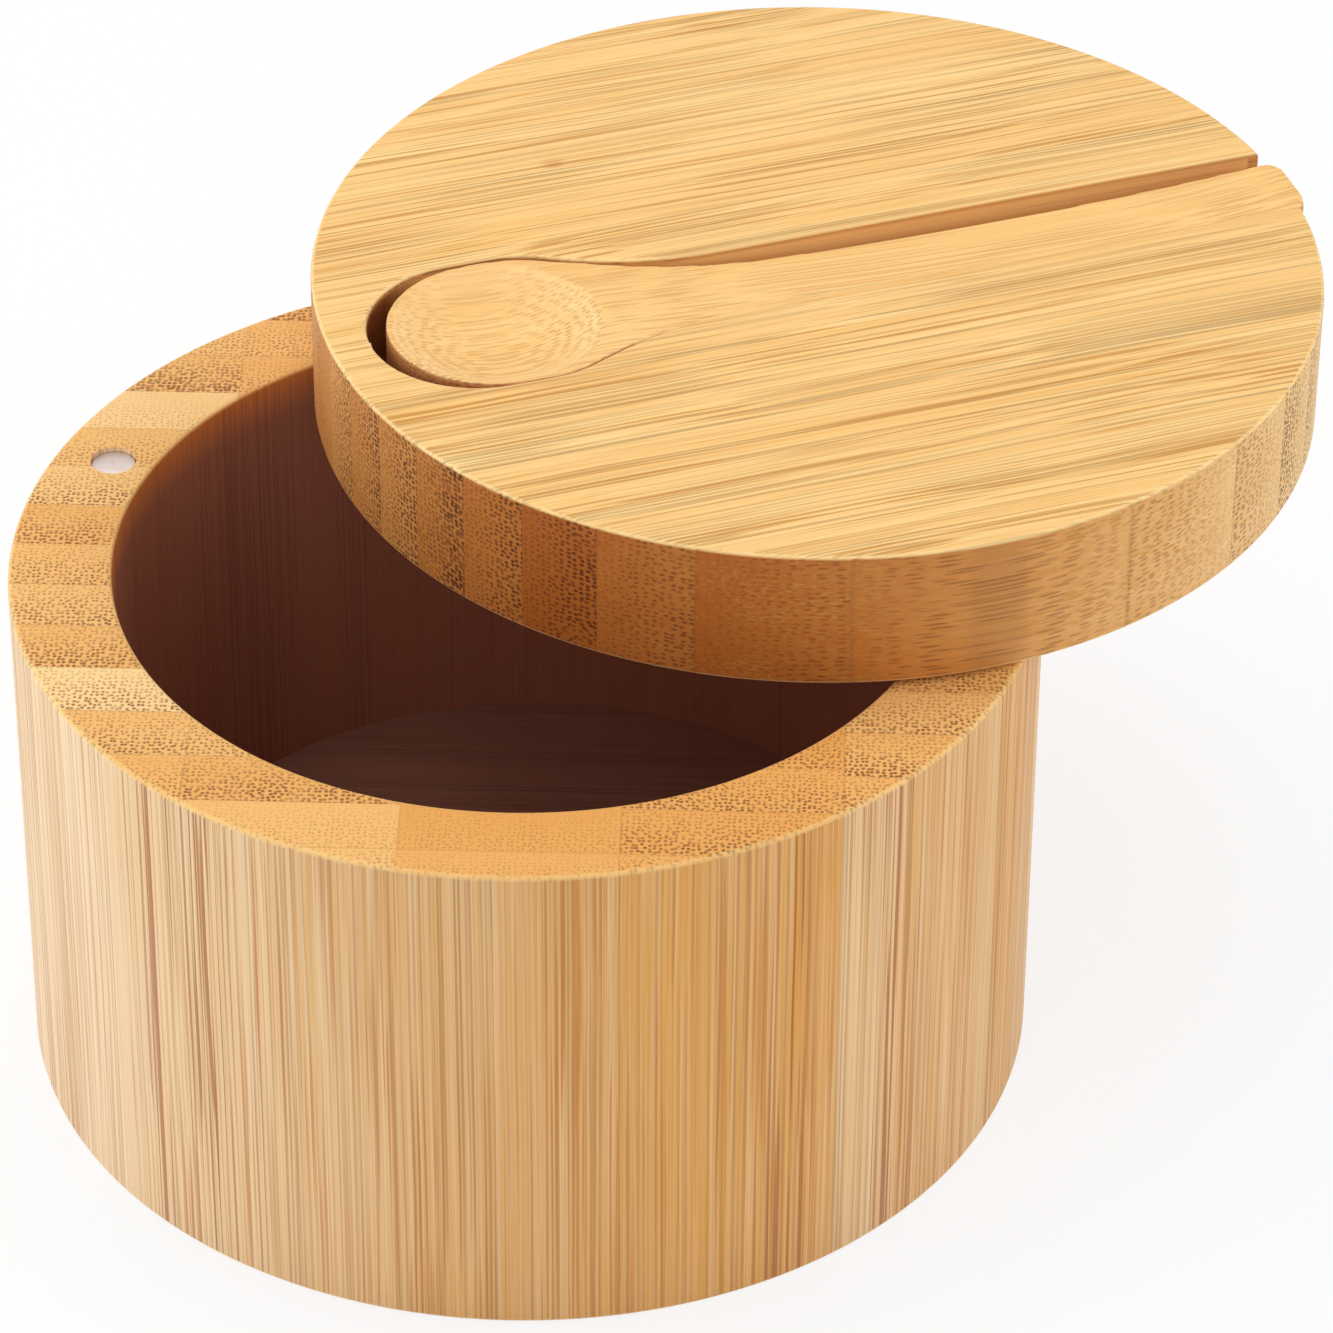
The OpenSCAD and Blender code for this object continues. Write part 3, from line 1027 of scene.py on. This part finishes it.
def stretched(tree, place, x, y, z):
    """A place with its three directions scaled, for a pattern drawn out along the grain."""
    return vector(tree, "MULTIPLY", place, (x, y, z)).outputs[0]


def clouds(tree, place, detail=2.0, rough=0.5):
    """Soft noise between 0 and 1."""
    node = put(
        tree, "ShaderNodeTexNoise", {"Vector": place, "Scale": 1.0, "Detail": detail, "Roughness": rough}
    )
    return node.outputs["Fac"]


def split(tree, triple):
    """The three parts of a vector."""
    return put(tree, "ShaderNodeSeparateXYZ", {0: triple}).outputs


def note_of(tree, name):
    """What a corner's note says."""
    return put(tree, "ShaderNodeAttribute", attribute_name=name).outputs["Vector"]


# %% [markdown]
# The group's inputs are what differs from piece to piece: the colours of the long grain and of the end
# grain, the direction of the grain on the piece, and how strongly each detail shows. Colours called pale
# and deep are the two ends of the range that a tone picks from.

# %% Name the inputs of the bamboo group
bamboo = bpy.data.node_groups.new("bamboo", "ShaderNodeTree")
for title, kind, value in (
    ("Long Pale", "NodeSocketColor", (0.85, 0.62, 0.37, 1)),
    ("Long Deep", "NodeSocketColor", (0.64, 0.35, 0.13, 1)),
    ("End Pale", "NodeSocketColor", (0.79, 0.50, 0.20, 1)),
    ("End Deep", "NodeSocketColor", (0.5, 0.2, 0.05, 1)),
    ("Pore", "NodeSocketColor", (0.25, 0.1, 0.03, 1)),
    ("Grain", "NodeSocketVector", (0, 0, 1)),
    ("Dots", "NodeSocketFloat", 1.0),
    ("Dashes", "NodeSocketFloat", 0.5),
    ("Streaks", "NodeSocketFloat", 1.0),
    ("Strokes", "NodeSocketFloat", 1.0),
    ("Hair Length", "NodeSocketFloat", 0.045),
    ("Knots", "NodeSocketFloat", 0.0),
    ("Red Lines", "NodeSocketFloat", 0.0),
    ("Threads", "NodeSocketFloat", 0.5),
    ("Thread", "NodeSocketColor", (0.55, 0.28, 0.08, 1)),
    ("Seams", "NodeSocketFloat", 1.0),
    # Edge and Edge Tint set the painted highlight on the broken edges.
    ("Edge", "NodeSocketFloat", 0.6),
    ("Edge Tint", "NodeSocketColor", (1.0, 0.75, 0.38, 1)),
    ("Turned Side", "NodeSocketFloat", 0.0),
    ("End Start", "NodeSocketFloat", 0.25),
    ("Wander", "NodeSocketFloat", 1.0),
    ("Roughness", "NodeSocketFloat", 0.45),
):
    socket = bamboo.interface.new_socket(title, in_out="INPUT", socket_type=kind)
    socket.default_value = value
for title, kind in (("Color", "Color"), ("Roughness", "Float"), ("Height", "Float")):
    bamboo.interface.new_socket(title, in_out="OUTPUT", socket_type="NodeSocket" + kind)
asked = put(bamboo, "NodeGroupInput").outputs
given = put(bamboo, "NodeGroupOutput").inputs
print("bamboo group:", len(asked) - 1, "inputs")

# %% [markdown]
# A face shows end grain where it looks along the grain, and long grain where it looks across. Between the
# two the pores only fade over, as on a turned side. The lid's side goes from end grain to long grain and
# back on its way round, and is darker than the top all the way, so its colour follows the upright faces.

# %% Tell end grain from long grain
fibre = note_of(bamboo, "fibre")
low_gap, high_gap, skin = split(bamboo, note_of(bamboo, "seams"))[:3]
end_tone, coarse, mark = split(bamboo, note_of(bamboo, "strip"))[:3]
side_a, side_b, long_tone = split(bamboo, note_of(bamboo, "sides"))[:3]
normal = put(bamboo, "ShaderNodeTexCoord").outputs["Normal"]
along = maths(bamboo, "ABSOLUTE", vector(bamboo, "DOT_PRODUCT", normal, asked["Grain"]).outputs["Value"])
end_start = asked["End Start"]
end_grain = between(bamboo, along, end_start, maths(bamboo, "ADD", end_start, 0.5))
long_grain = maths(bamboo, "SUBTRACT", 1.0, end_grain)
rise = maths(bamboo, "ABSOLUTE", split(bamboo, normal)[2])
upright = between(bamboo, rise, 0.75, 0.25)
# Painted highlight: the broken edges between level and upright faces get a pale tint where light catches
# the bevel.
edge_highlight = times(bamboo, between(bamboo, rise, 0.15, 0.55), between(bamboo, rise, 0.985, 0.85))
end_shade = put(bamboo, "ShaderNodeMix", {0: asked["Turned Side"], 2: end_grain, 3: upright}).outputs[0]

# %% [markdown]
# The pores come first. Their cells are half a millimetre wide, and each has a strength of its own, so that
# the rows don't look printed. They wander by less than a millimetre over the height of the box. That is
# what breaks a pore into dashes on a turned side.

# %% Draw the pores
wander = put(
    bamboo, "ShaderNodeTexNoise",
    {"Vector": stretched(bamboo, fibre, 0.03, 0.03, 0.016), "Scale": 1.0, "Detail": 2.0},
).outputs["Color"]
wander_feeds = {0: wander, "Scale": asked["Wander"]}
wander = put(bamboo, "ShaderNodeVectorMath", wander_feeds, operation="SCALE").outputs[0]
wandering = vector(bamboo, "MULTIPLY_ADD", wander, (2.2, 2.2, 0), fibre).outputs[0]
cells = put(
    bamboo, "ShaderNodeTexVoronoi",
    {"Vector": stretched(bamboo, wandering, 2.15, 2.15, 0), "Scale": 1.0, "Randomness": 0.6},
    voronoi_dimensions="2D",
)
lot = split(bamboo, cells.outputs["Color"])[0]
pore_r = maths(bamboo, "MULTIPLY_ADD", coarse, 0.15, 0.19)
pore_r = times(bamboo, pore_r, maths(bamboo, "MULTIPLY_ADD", skin, 0.3, 0.85))
pores = between(bamboo, maths(bamboo, "SUBTRACT", cells.outputs["Distance"], pore_r), 0.06, -0.06)
crowd = between(bamboo, skin, -0.1, 0.9, 0.42, 1.0)
fading = clouds(bamboo, stretched(bamboo, fibre, 0.4, 0.4, 0.05))
pore_strength = between(bamboo, lot, 0.0, 0.4, 0.65, 1.0)
pores = times(bamboo, pores, crowd, pore_strength, between(bamboo, fading, 0.3, 0.6, 0.6, 1.0))
dots = times(bamboo, pores, end_grain, asked["Dots"], between(bamboo, coarse, 0.0, 0.7, 0.2, 1.0))
dashes = times(bamboo, pores, long_grain, asked["Dashes"])

# %% [markdown]
# Streaks make up most of the long grain: very fine ones like brush strokes, and broad ones as wide as
# a fingernail. Each is soft noise on a place that is pressed together along the grain. They are added to
# the strip's own tone, and the sum picks a colour between the pale and the deep one.

# %% Draw the streaks
hair_reach = put(bamboo, "ShaderNodeCombineXYZ", {0: 6.5, 1: 6.5, 2: asked["Hair Length"]}).outputs[0]
hair_place = vector(bamboo, "MULTIPLY", wandering, hair_reach).outputs[0]
hair = clouds(bamboo, hair_place, 3.0, 0.6)
stroke = clouds(bamboo, stretched(bamboo, wandering, 1.5, 1.5, 0.013), 3.0, 0.6)
broad = clouds(bamboo, stretched(bamboo, fibre, 0.28, 0.28, 0.006), 2.0)
cloud = clouds(bamboo, stretched(bamboo, fibre, 0.09, 0.09, 0.03), 1.0)
swell = maths(bamboo, "MULTIPLY", maths(bamboo, "SUBTRACT", stroke, 0.5), 1.9)
swell = maths(bamboo, "MULTIPLY_ADD", maths(bamboo, "SUBTRACT", broad, 0.5), 1.2, swell)
swell = maths(bamboo, "MULTIPLY_ADD", maths(bamboo, "SUBTRACT", cloud, 0.5), 0.8, swell)
streak = times(bamboo, maths(bamboo, "SUBTRACT", hair, 0.5), 1.6)
streak = maths(bamboo, "MULTIPLY_ADD", swell, asked["Strokes"], streak)
calm = between(bamboo, end_shade, 0.0, 1.0, 1.0, 0.25)
streak = times(bamboo, streak, asked["Streaks"], calm)
tone = put(bamboo, "ShaderNodeMix", {0: end_shade, 2: long_tone, 3: end_tone}).outputs[0]
streak = maths(bamboo, "ADD", maths(bamboo, "MULTIPLY_ADD", tone, 0.5, 0.45), streak)
depth_of_tone = between(bamboo, streak, 0.0, 1.0, 0.0, 1.0, "LINEAR")

# %% [markdown]
# Tones of one wood differ like layers of varnish: each step multiplies the colour once more. The end
# grain varies most, so its colour is the pale one times the darkening raised to the tone, which is what
# a Gamma node does. The long grain varies little, and a plain mix is enough.

# %% Turn tones into colours
long_colour = blend(bamboo, depth_of_tone, asked["Long Pale"], asked["Long Deep"])
darkening = blend(bamboo, 1.0, asked["End Deep"], asked["End Pale"], "DIVIDE")
darkening = put(bamboo, "ShaderNodeGamma", {"Color": darkening, "Gamma": depth_of_tone}).outputs[0]
end_colour = blend(bamboo, 1.0, asked["End Pale"], darkening, "MULTIPLY")
colour = blend(bamboo, end_shade, long_colour, end_colour)
print("colour nodes so far:", len(bamboo.nodes))

# %% [markdown]
# Thin dark and pale threads lie among the streaks in runs. Where the skin of the culm was nicked, a few
# reddish lines cross the height of the wall, and a knot leaves a small brown fleck. A glue line shows
# where the nearest glued face of the strip is close to nothing away.

# %% Draw the threads, the knot and the glue lines
nicked = between(bamboo, maths(bamboo, "ABSOLUTE", mark), 3.6, 0.8)
line_fine = clouds(bamboo, stretched(bamboo, wandering, 2.8, 2.8, 0.012), 1.0)
red_line = times(bamboo, nicked, between(bamboo, line_fine, 0.53, 0.61), long_grain, asked["Red Lines"])
nearest_broad = maths(bamboo, "MINIMUM", low_gap, high_gap)
nearest = maths(bamboo, "MINIMUM", nearest_broad, maths(bamboo, "MINIMUM", side_a, side_b))
seam_shows = between(bamboo, end_shade, 0.0, 1.0, 0.2, 1.0)
seam = times(bamboo, between(bamboo, nearest, 0.12, 0.02), seam_shows, asked["Seams"])
thread_run = clouds(bamboo, stretched(bamboo, fibre, 0.24, 0.24, 0.014), 2.0)
thread_fine = clouds(bamboo, stretched(bamboo, wandering, 3.6, 3.6, 0.022), 1.0)
thread = times(
    bamboo, between(bamboo, thread_run, 0.38, 0.6, 0.12, 1.0), between(bamboo, thread_fine, 0.52, 0.64),
    long_grain, asked["Threads"],
)
pale_fine = clouds(bamboo, stretched(bamboo, wandering, 3.1, 3.1, 0.014), 1.0)
straight = maths(bamboo, "SUBTRACT", 1.0, end_shade)
pale_thread = times(bamboo, between(bamboo, pale_fine, 0.58, 0.7), straight, asked["Threads"], 0.42)
knot = between(bamboo, maths(bamboo, "MULTIPLY_ADD", hair, 2.5, maths(bamboo, "ABSOLUTE", mark)), 2.9, 1.3)
knot = times(bamboo, knot, between(bamboo, high_gap, 1.9, 0.5), straight, asked["Knots"])

# %% [markdown]
# Everything is now laid over the base colour, one layer after the other, from the pores up to the painted
# highlight on the broken edges, a pale tint where light catches the bevel. Roughness and height use the
# same patterns, so that a pore that looks dark is also a little rougher and a little deeper.

# %% Lay the details over each other
RED_LINE = (0.36, 0.11, 0.03, 1)
GLUE = (0.22, 0.09, 0.03, 1)

colour = blend(bamboo, times(bamboo, dots, 0.9), colour, asked["Pore"])
colour = blend(bamboo, dashes, colour, asked["Pore"])
colour = blend(bamboo, pale_thread, colour, asked["Long Pale"])
colour = blend(bamboo, thread, colour, asked["Thread"])
colour = blend(bamboo, times(bamboo, knot, 0.45), colour, asked["End Deep"])
colour = blend(bamboo, red_line, colour, RED_LINE)
colour = blend(bamboo, times(bamboo, seam, 0.5), colour, GLUE)
# Painted highlight on the broken edges.
colour = blend(bamboo, times(bamboo, edge_highlight, asked["Edge"]), colour, asked["Edge Tint"])
wire(bamboo, given["Color"], colour)

rough = maths(bamboo, "MULTIPLY_ADD", hair, 0.12, asked["Roughness"])
rough = maths(bamboo, "MULTIPLY_ADD", pores, 0.12, rough)
wire(bamboo, given["Roughness"], rough)
relief = maths(bamboo, "MULTIPLY_ADD", hair, 0.35, 0.5)
relief = maths(bamboo, "SUBTRACT", relief, maths(bamboo, "MAXIMUM", dots, dashes))
relief = maths(bamboo, "SUBTRACT", relief, seam)
wire(bamboo, given["Height"], relief)
print("bamboo group:", len(bamboo.nodes), "nodes")

# %% [markdown]
# ## Four bamboo finishes
#
# The four finishes share the group, and differ in their colours and in where their grain runs. The wall is
# waxed, and the lid and the spoon are oiled. The inside of the wall and the top of the floor carry painted
# shade. Colours are written as they are picked on a screen, and turned into light for the shader.

# %% Helpers for mixing a bamboo finish
def light_of(value):
    """The light of one screen value between 0 and 255."""
    share = value / 255
    return ((share + 0.055) / 1.055) ** 2.4 if value > 10 else share / 12.92


def srgb(red, green, blue):
    """A colour given as on a screen, as light."""
    return (light_of(red), light_of(green), light_of(blue), 1)


def bamboo_finish(name, grain, groove_mm, values):
    """A material around the bamboo group. Returns it with its tree, its group node and its shader."""
    finish = bpy.data.materials.new(name)
    tree = empty_tree(finish)
    wood = put(tree, "ShaderNodeGroup", node_tree=bamboo)
    for key, value in values.items():
        wood.inputs[key].default_value = value
    wood.inputs["Grain"].default_value = grain
    feeds = {"Height": wood.outputs["Height"], "Distance": groove_mm * MM, "Strength": 0.6}
    bump = put(tree, "ShaderNodeBump", feeds)
    shader = put(tree, "ShaderNodeBsdfPrincipled", {
        "Base Color": wood.outputs["Color"],
        "Roughness": wood.outputs["Roughness"],
        "Normal": bump.outputs["Normal"],
        "Specular IOR Level": 0.25,
    })
    put(tree, "ShaderNodeOutputMaterial", {"Surface": shader.outputs[0]})
    return finish, tree, wood, shader


def out_from(tree, place, centre):
    """Level distance of a place from an upright axis."""
    level = stretched(tree, place, 1, 1, 0)
    return vector(tree, "DISTANCE", level, (centre.x, centre.y, 0)).outputs["Value"]


# %% [markdown]
# The outside of the wall is pale, with straight fine lines and a few reddish ones. Inside, the wall
# carries painted shade, from orange-brown under the rim to a deep brown below. A mask finds the cavity
# by its distance from the axis, and a colour ramp deepens the painted shade with depth.

# %% Mix the finish of the wall
wall_finish, tree, wood, shader = bamboo_finish("waxed_bamboo_wall", (0, 0, 1), 0.08, {
    "Long Pale": srgb(244, 217, 178),
    "Long Deep": srgb(215, 155, 73),
    "End Pale": srgb(246, 208, 146),
    "End Deep": srgb(218, 142, 62),
    "Pore": srgb(116, 58, 28),
    # Edge Tint and Edge set the painted highlight on the broken edges.
    "Edge Tint": srgb(255, 222, 150),
    "Dots": 0.9,
    "Dashes": 0.35,
    "Edge": 0.35,
    "Streaks": 0.6,
    "Strokes": 0.45,
    "Hair Length": 0.011,
    "Threads": 0.6,
    "Thread": srgb(186, 114, 50),
    "Red Lines": 0.75,
    "Seams": 0.35,
    "Wander": 0.35,
})
place = put(tree, "ShaderNodeTexCoord").outputs["Object"]
z = split(tree, place)[2]
# Painted shade: a mask for the inside of the cavity, whose colour is darkened to stand in for its shade.
inside = times(
    tree,
    between(tree, out_from(tree, place, Vector((0, 0, 0))), cavity_r + 0.45 * MM, cavity_r + 0.2 * MM),
    between(tree, z, base_h - 0.08 * MM, base_h - 0.4 * MM),
)
# The ramp holds the painted shade, orange-brown under the rim and deep brown towards the floor.
cavity_shade_ramp = put(tree, "ShaderNodeValToRGB", {"Fac": between(tree, z, base_h, floor_t, 0, 1, "LINEAR")})
cavity_shade_ramp.color_ramp.elements[0].color = srgb(230, 152, 84)
cavity_shade_ramp.color_ramp.elements[1].color = srgb(174, 120, 100)
cavity_shade_ramp.color_ramp.elements[1].position = 0.1
grey = blend(tree, 0.5, wood.outputs["Color"], WHITE)
cavity_painted_shade = blend(tree, 1.0, cavity_shade_ramp.outputs["Color"], grey, "MULTIPLY")
wire(tree, shader.inputs["Base Color"], blend(tree, inside, wood.outputs["Color"], cavity_painted_shade))
print(wall_finish.name, "has", len(tree.nodes), "nodes")

# %% [markdown]
# The lid is yellower, with bolder grain. Inside its slot, the long sides are painted paler, as painted
# light in the narrow slot, and the round end and the short faces across the grain are painted darker. The
# darker part is found by how squarely a face looks along the grain.

# %% Mix the finish of the lid
lid_grain = (swing.to_3x3() @ grain_way).normalized()
lid_centre = swing @ Vector((0, 0, 0))
lid_finish, tree, wood, shader = bamboo_finish("oiled_bamboo_lid", lid_grain, 0.08, {
    "Long Pale": srgb(250, 214, 146),
    "Long Deep": srgb(234, 176, 96),
    "End Pale": srgb(244, 206, 146),
    "End Deep": srgb(176, 98, 36),
    "Pore": srgb(74, 30, 14),
    # Edge Tint and Edge set the painted highlight on the broken edges.
    "Edge Tint": srgb(255, 226, 164),
    "Dots": 0.95,
    "Dashes": 0.4,
    "Edge": 0.45,
    "Threads": 0.85,
    "Thread": srgb(196, 138, 62),
    "Streaks": 0.75,
    "Strokes": 0.7,
    "Knots": 1.0,
    "Seams": 0.4,
    "Turned Side": 1.0,
})
coordinates = put(tree, "ShaderNodeTexCoord").outputs
z = split(tree, coordinates["Object"])[2]
from_lid_axis = out_from(tree, coordinates["Object"], lid_centre)
in_slot = times(
    tree,
    between(tree, from_lid_axis, base_r - 0.8 * MM, base_r - 1.2 * MM),
    between(tree, z, lid_high - 0.3 * MM, lid_high - 0.8 * MM),
    between(tree, z, lid_low + 1 * MM, lid_low + 2 * MM),
)
facing = vector(tree, "DOT_PRODUCT", coordinates["Normal"], lid_grain).outputs["Value"]
along_grain_share = between(tree, maths(tree, "ABSOLUTE", facing), 0.2, 0.7)
# Painted light: the long sides of the slot are painted paler, and faces across the grain are painted
# darker.
slot_side_light = blend(tree, 0.7, wood.outputs["Color"], srgb(250, 194, 122))
slot_end_darker = blend(tree, 1.0, wood.outputs["Color"], (0.45, 0.32, 0.3, 1), "MULTIPLY")
slot_colour = blend(tree, along_grain_share, slot_side_light, slot_end_darker)
wire(tree, shader.inputs["Base Color"], blend(tree, in_slot, wood.outputs["Color"], slot_colour))
print(lid_finish.name, "has", len(tree.nodes), "nodes")

# %% [markdown]
# The spoon is sanded all over, so its grain is soft, with short dashes in rings where the hollow cuts
# through the pores.

# %% Mix the finish of the spoon
spoon_finish = bamboo_finish("oiled_bamboo_spoon", lid_grain, 0.05, {
    "Long Pale": srgb(247, 205, 134),
    "Long Deep": srgb(234, 179, 104),
    "End Pale": srgb(232, 176, 116),
    "End Deep": srgb(190, 122, 70),
    "Pore": srgb(170, 98, 52),
    "Dots": 0.9,
    "Dashes": 0.38,
    "Threads": 0.45,
    "Thread": srgb(206, 150, 88),
    "Seams": 0.0,
    # Edge sets the painted highlight on the broken edges.
    "Edge": 0.3,
    "Streaks": 0.8,
    "Turned Side": 1.0,
    "End Start": 0.02,
    "Wander": 2.0,
})[0]
print(spoon_finish.name, "has", len(spoon_finish.node_tree.nodes), "nodes")

# %% [markdown]
# The floor's underside stays as pale as the outside of the box. From its middle upwards it carries the
# painted shade of the cavity, as a tint that the pale wood is multiplied by, so its grain still shows
# through the painted shade.

# %% Mix the finish of the floor
# Painted shade: the tint that darkens the top of the floor inside the cavity.
CAVITY_SHADE_TINT = (0.444, 0.271, 0.286, 1)

floor_finish, tree, wood, shader = bamboo_finish("bamboo_floor_painted_shade", column_way, 0.08, {
    "Long Pale": srgb(244, 217, 178),
    "Long Deep": srgb(221, 192, 156),
    "End Pale": srgb(244, 217, 178),
    "End Deep": srgb(221, 192, 156),
    "Pore": srgb(132, 100, 73),
    "Dots": 0.6,
    "Dashes": 0.2,
    "Threads": 0.4,
    "Thread": srgb(201, 165, 117),
    "Seams": 0.3,
    "Edge": 0.0,
})
z = split(tree, put(tree, "ShaderNodeTexCoord").outputs["Object"])[2]
# The top of the floor is darkened with the painted shade, and the underside stays pale.
floor_painted_shade = blend(tree, 1.0, wood.outputs["Color"], CAVITY_SHADE_TINT, "MULTIPLY")
floor_colour = blend(tree, between(tree, z, 1 * MM, 4 * MM), wood.outputs["Color"], floor_painted_shade)
wire(tree, shader.inputs["Base Color"], floor_colour)
print(floor_finish.name, "has", len(tree.nodes), "nodes")

# %% [markdown]
# ## Metal and nylon
#
# The magnets are nickel plated, so they are smooth with a faint orange peel and a few scuffs. The pin is
# drawn steel with lines along it, and the washer is milky nylon.

# %% Mix the metal and nylon finishes
def small_finish(name, colour, worn_colour, metal, rough, scratch):
    """A fine speckled finish for a small part, its scratches stretched along one direction."""
    finish = bpy.data.materials.new(name)
    tree = empty_tree(finish)
    place = put(tree, "ShaderNodeTexCoord").outputs["Object"]
    marks = clouds(tree, stretched(tree, place, *scratch), 3.0, 0.65)
    worn = between(tree, marks, 0.45, 0.7)
    bump = put(tree, "ShaderNodeBump", {"Height": marks, "Distance": 0.02 * MM, "Strength": 0.4})
    shader = put(tree, "ShaderNodeBsdfPrincipled", {
        "Base Color": blend(tree, worn, colour, worn_colour),
        "Roughness": between(tree, marks, 0.3, 0.7, rough, rough + 0.15),
        "Normal": bump.outputs["Normal"],
        "Metallic": metal,
    })
    put(tree, "ShaderNodeOutputMaterial", {"Surface": shader.outputs[0]})
    return finish


nickel_finish = small_finish(
    "nickel_plate", srgb(204, 189, 182), srgb(192, 175, 168), 0.75, 0.34, (900, 900, 900)
)
steel_finish = small_finish(
    "drawn_steel", srgb(170, 168, 166), srgb(136, 132, 130), 1.0, 0.28, (4000, 4000, 120)
)
nylon_finish = small_finish(
    "milky_nylon", srgb(236, 232, 222), srgb(222, 216, 204), 0.0, 0.42, (1200, 1200, 1200)
)
print("small finishes:", nickel_finish.name, steel_finish.name, nylon_finish.name)

# %% [markdown]
# ## Assembly
#
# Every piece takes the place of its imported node, rides on its body and names its material slot. Smooth
# shading by angle keeps the turned faces round and the sawn edges crisp.

# %% Dress and hang every piece
def finish_piece(piece, body, finish, angle=30):
    """Gives a piece its finish and its place in the assembly."""
    pick(piece)
    if angle:
        bpy.ops.object.shade_smooth_by_angle(angle=math.radians(angle))
    piece.data.materials.clear()
    piece.data.materials.append(finish)
    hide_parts(piece["node"])
    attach(piece, body)


for column in stave_columns:
    finish_piece(column, "base", wall_finish)
finish_piece(floor_board, "base", floor_finish)
finish_piece(pin, "base", steel_finish)
finish_piece(nylon_washer, "base", nylon_finish)
finish_piece(rim_magnet, "base", nickel_finish)
finish_piece(lid_magnet, "lid", nickel_finish)
for strip in lid_strips:
    finish_piece(strip, "lid", lid_finish)
finish_piece(spoon, "spoon", spoon_finish, angle=0)
faces = sum(len(piece.data.polygons) for piece in bpy.context.scene.objects if piece.type == "MESH")
print("faces in the scene:", faces)
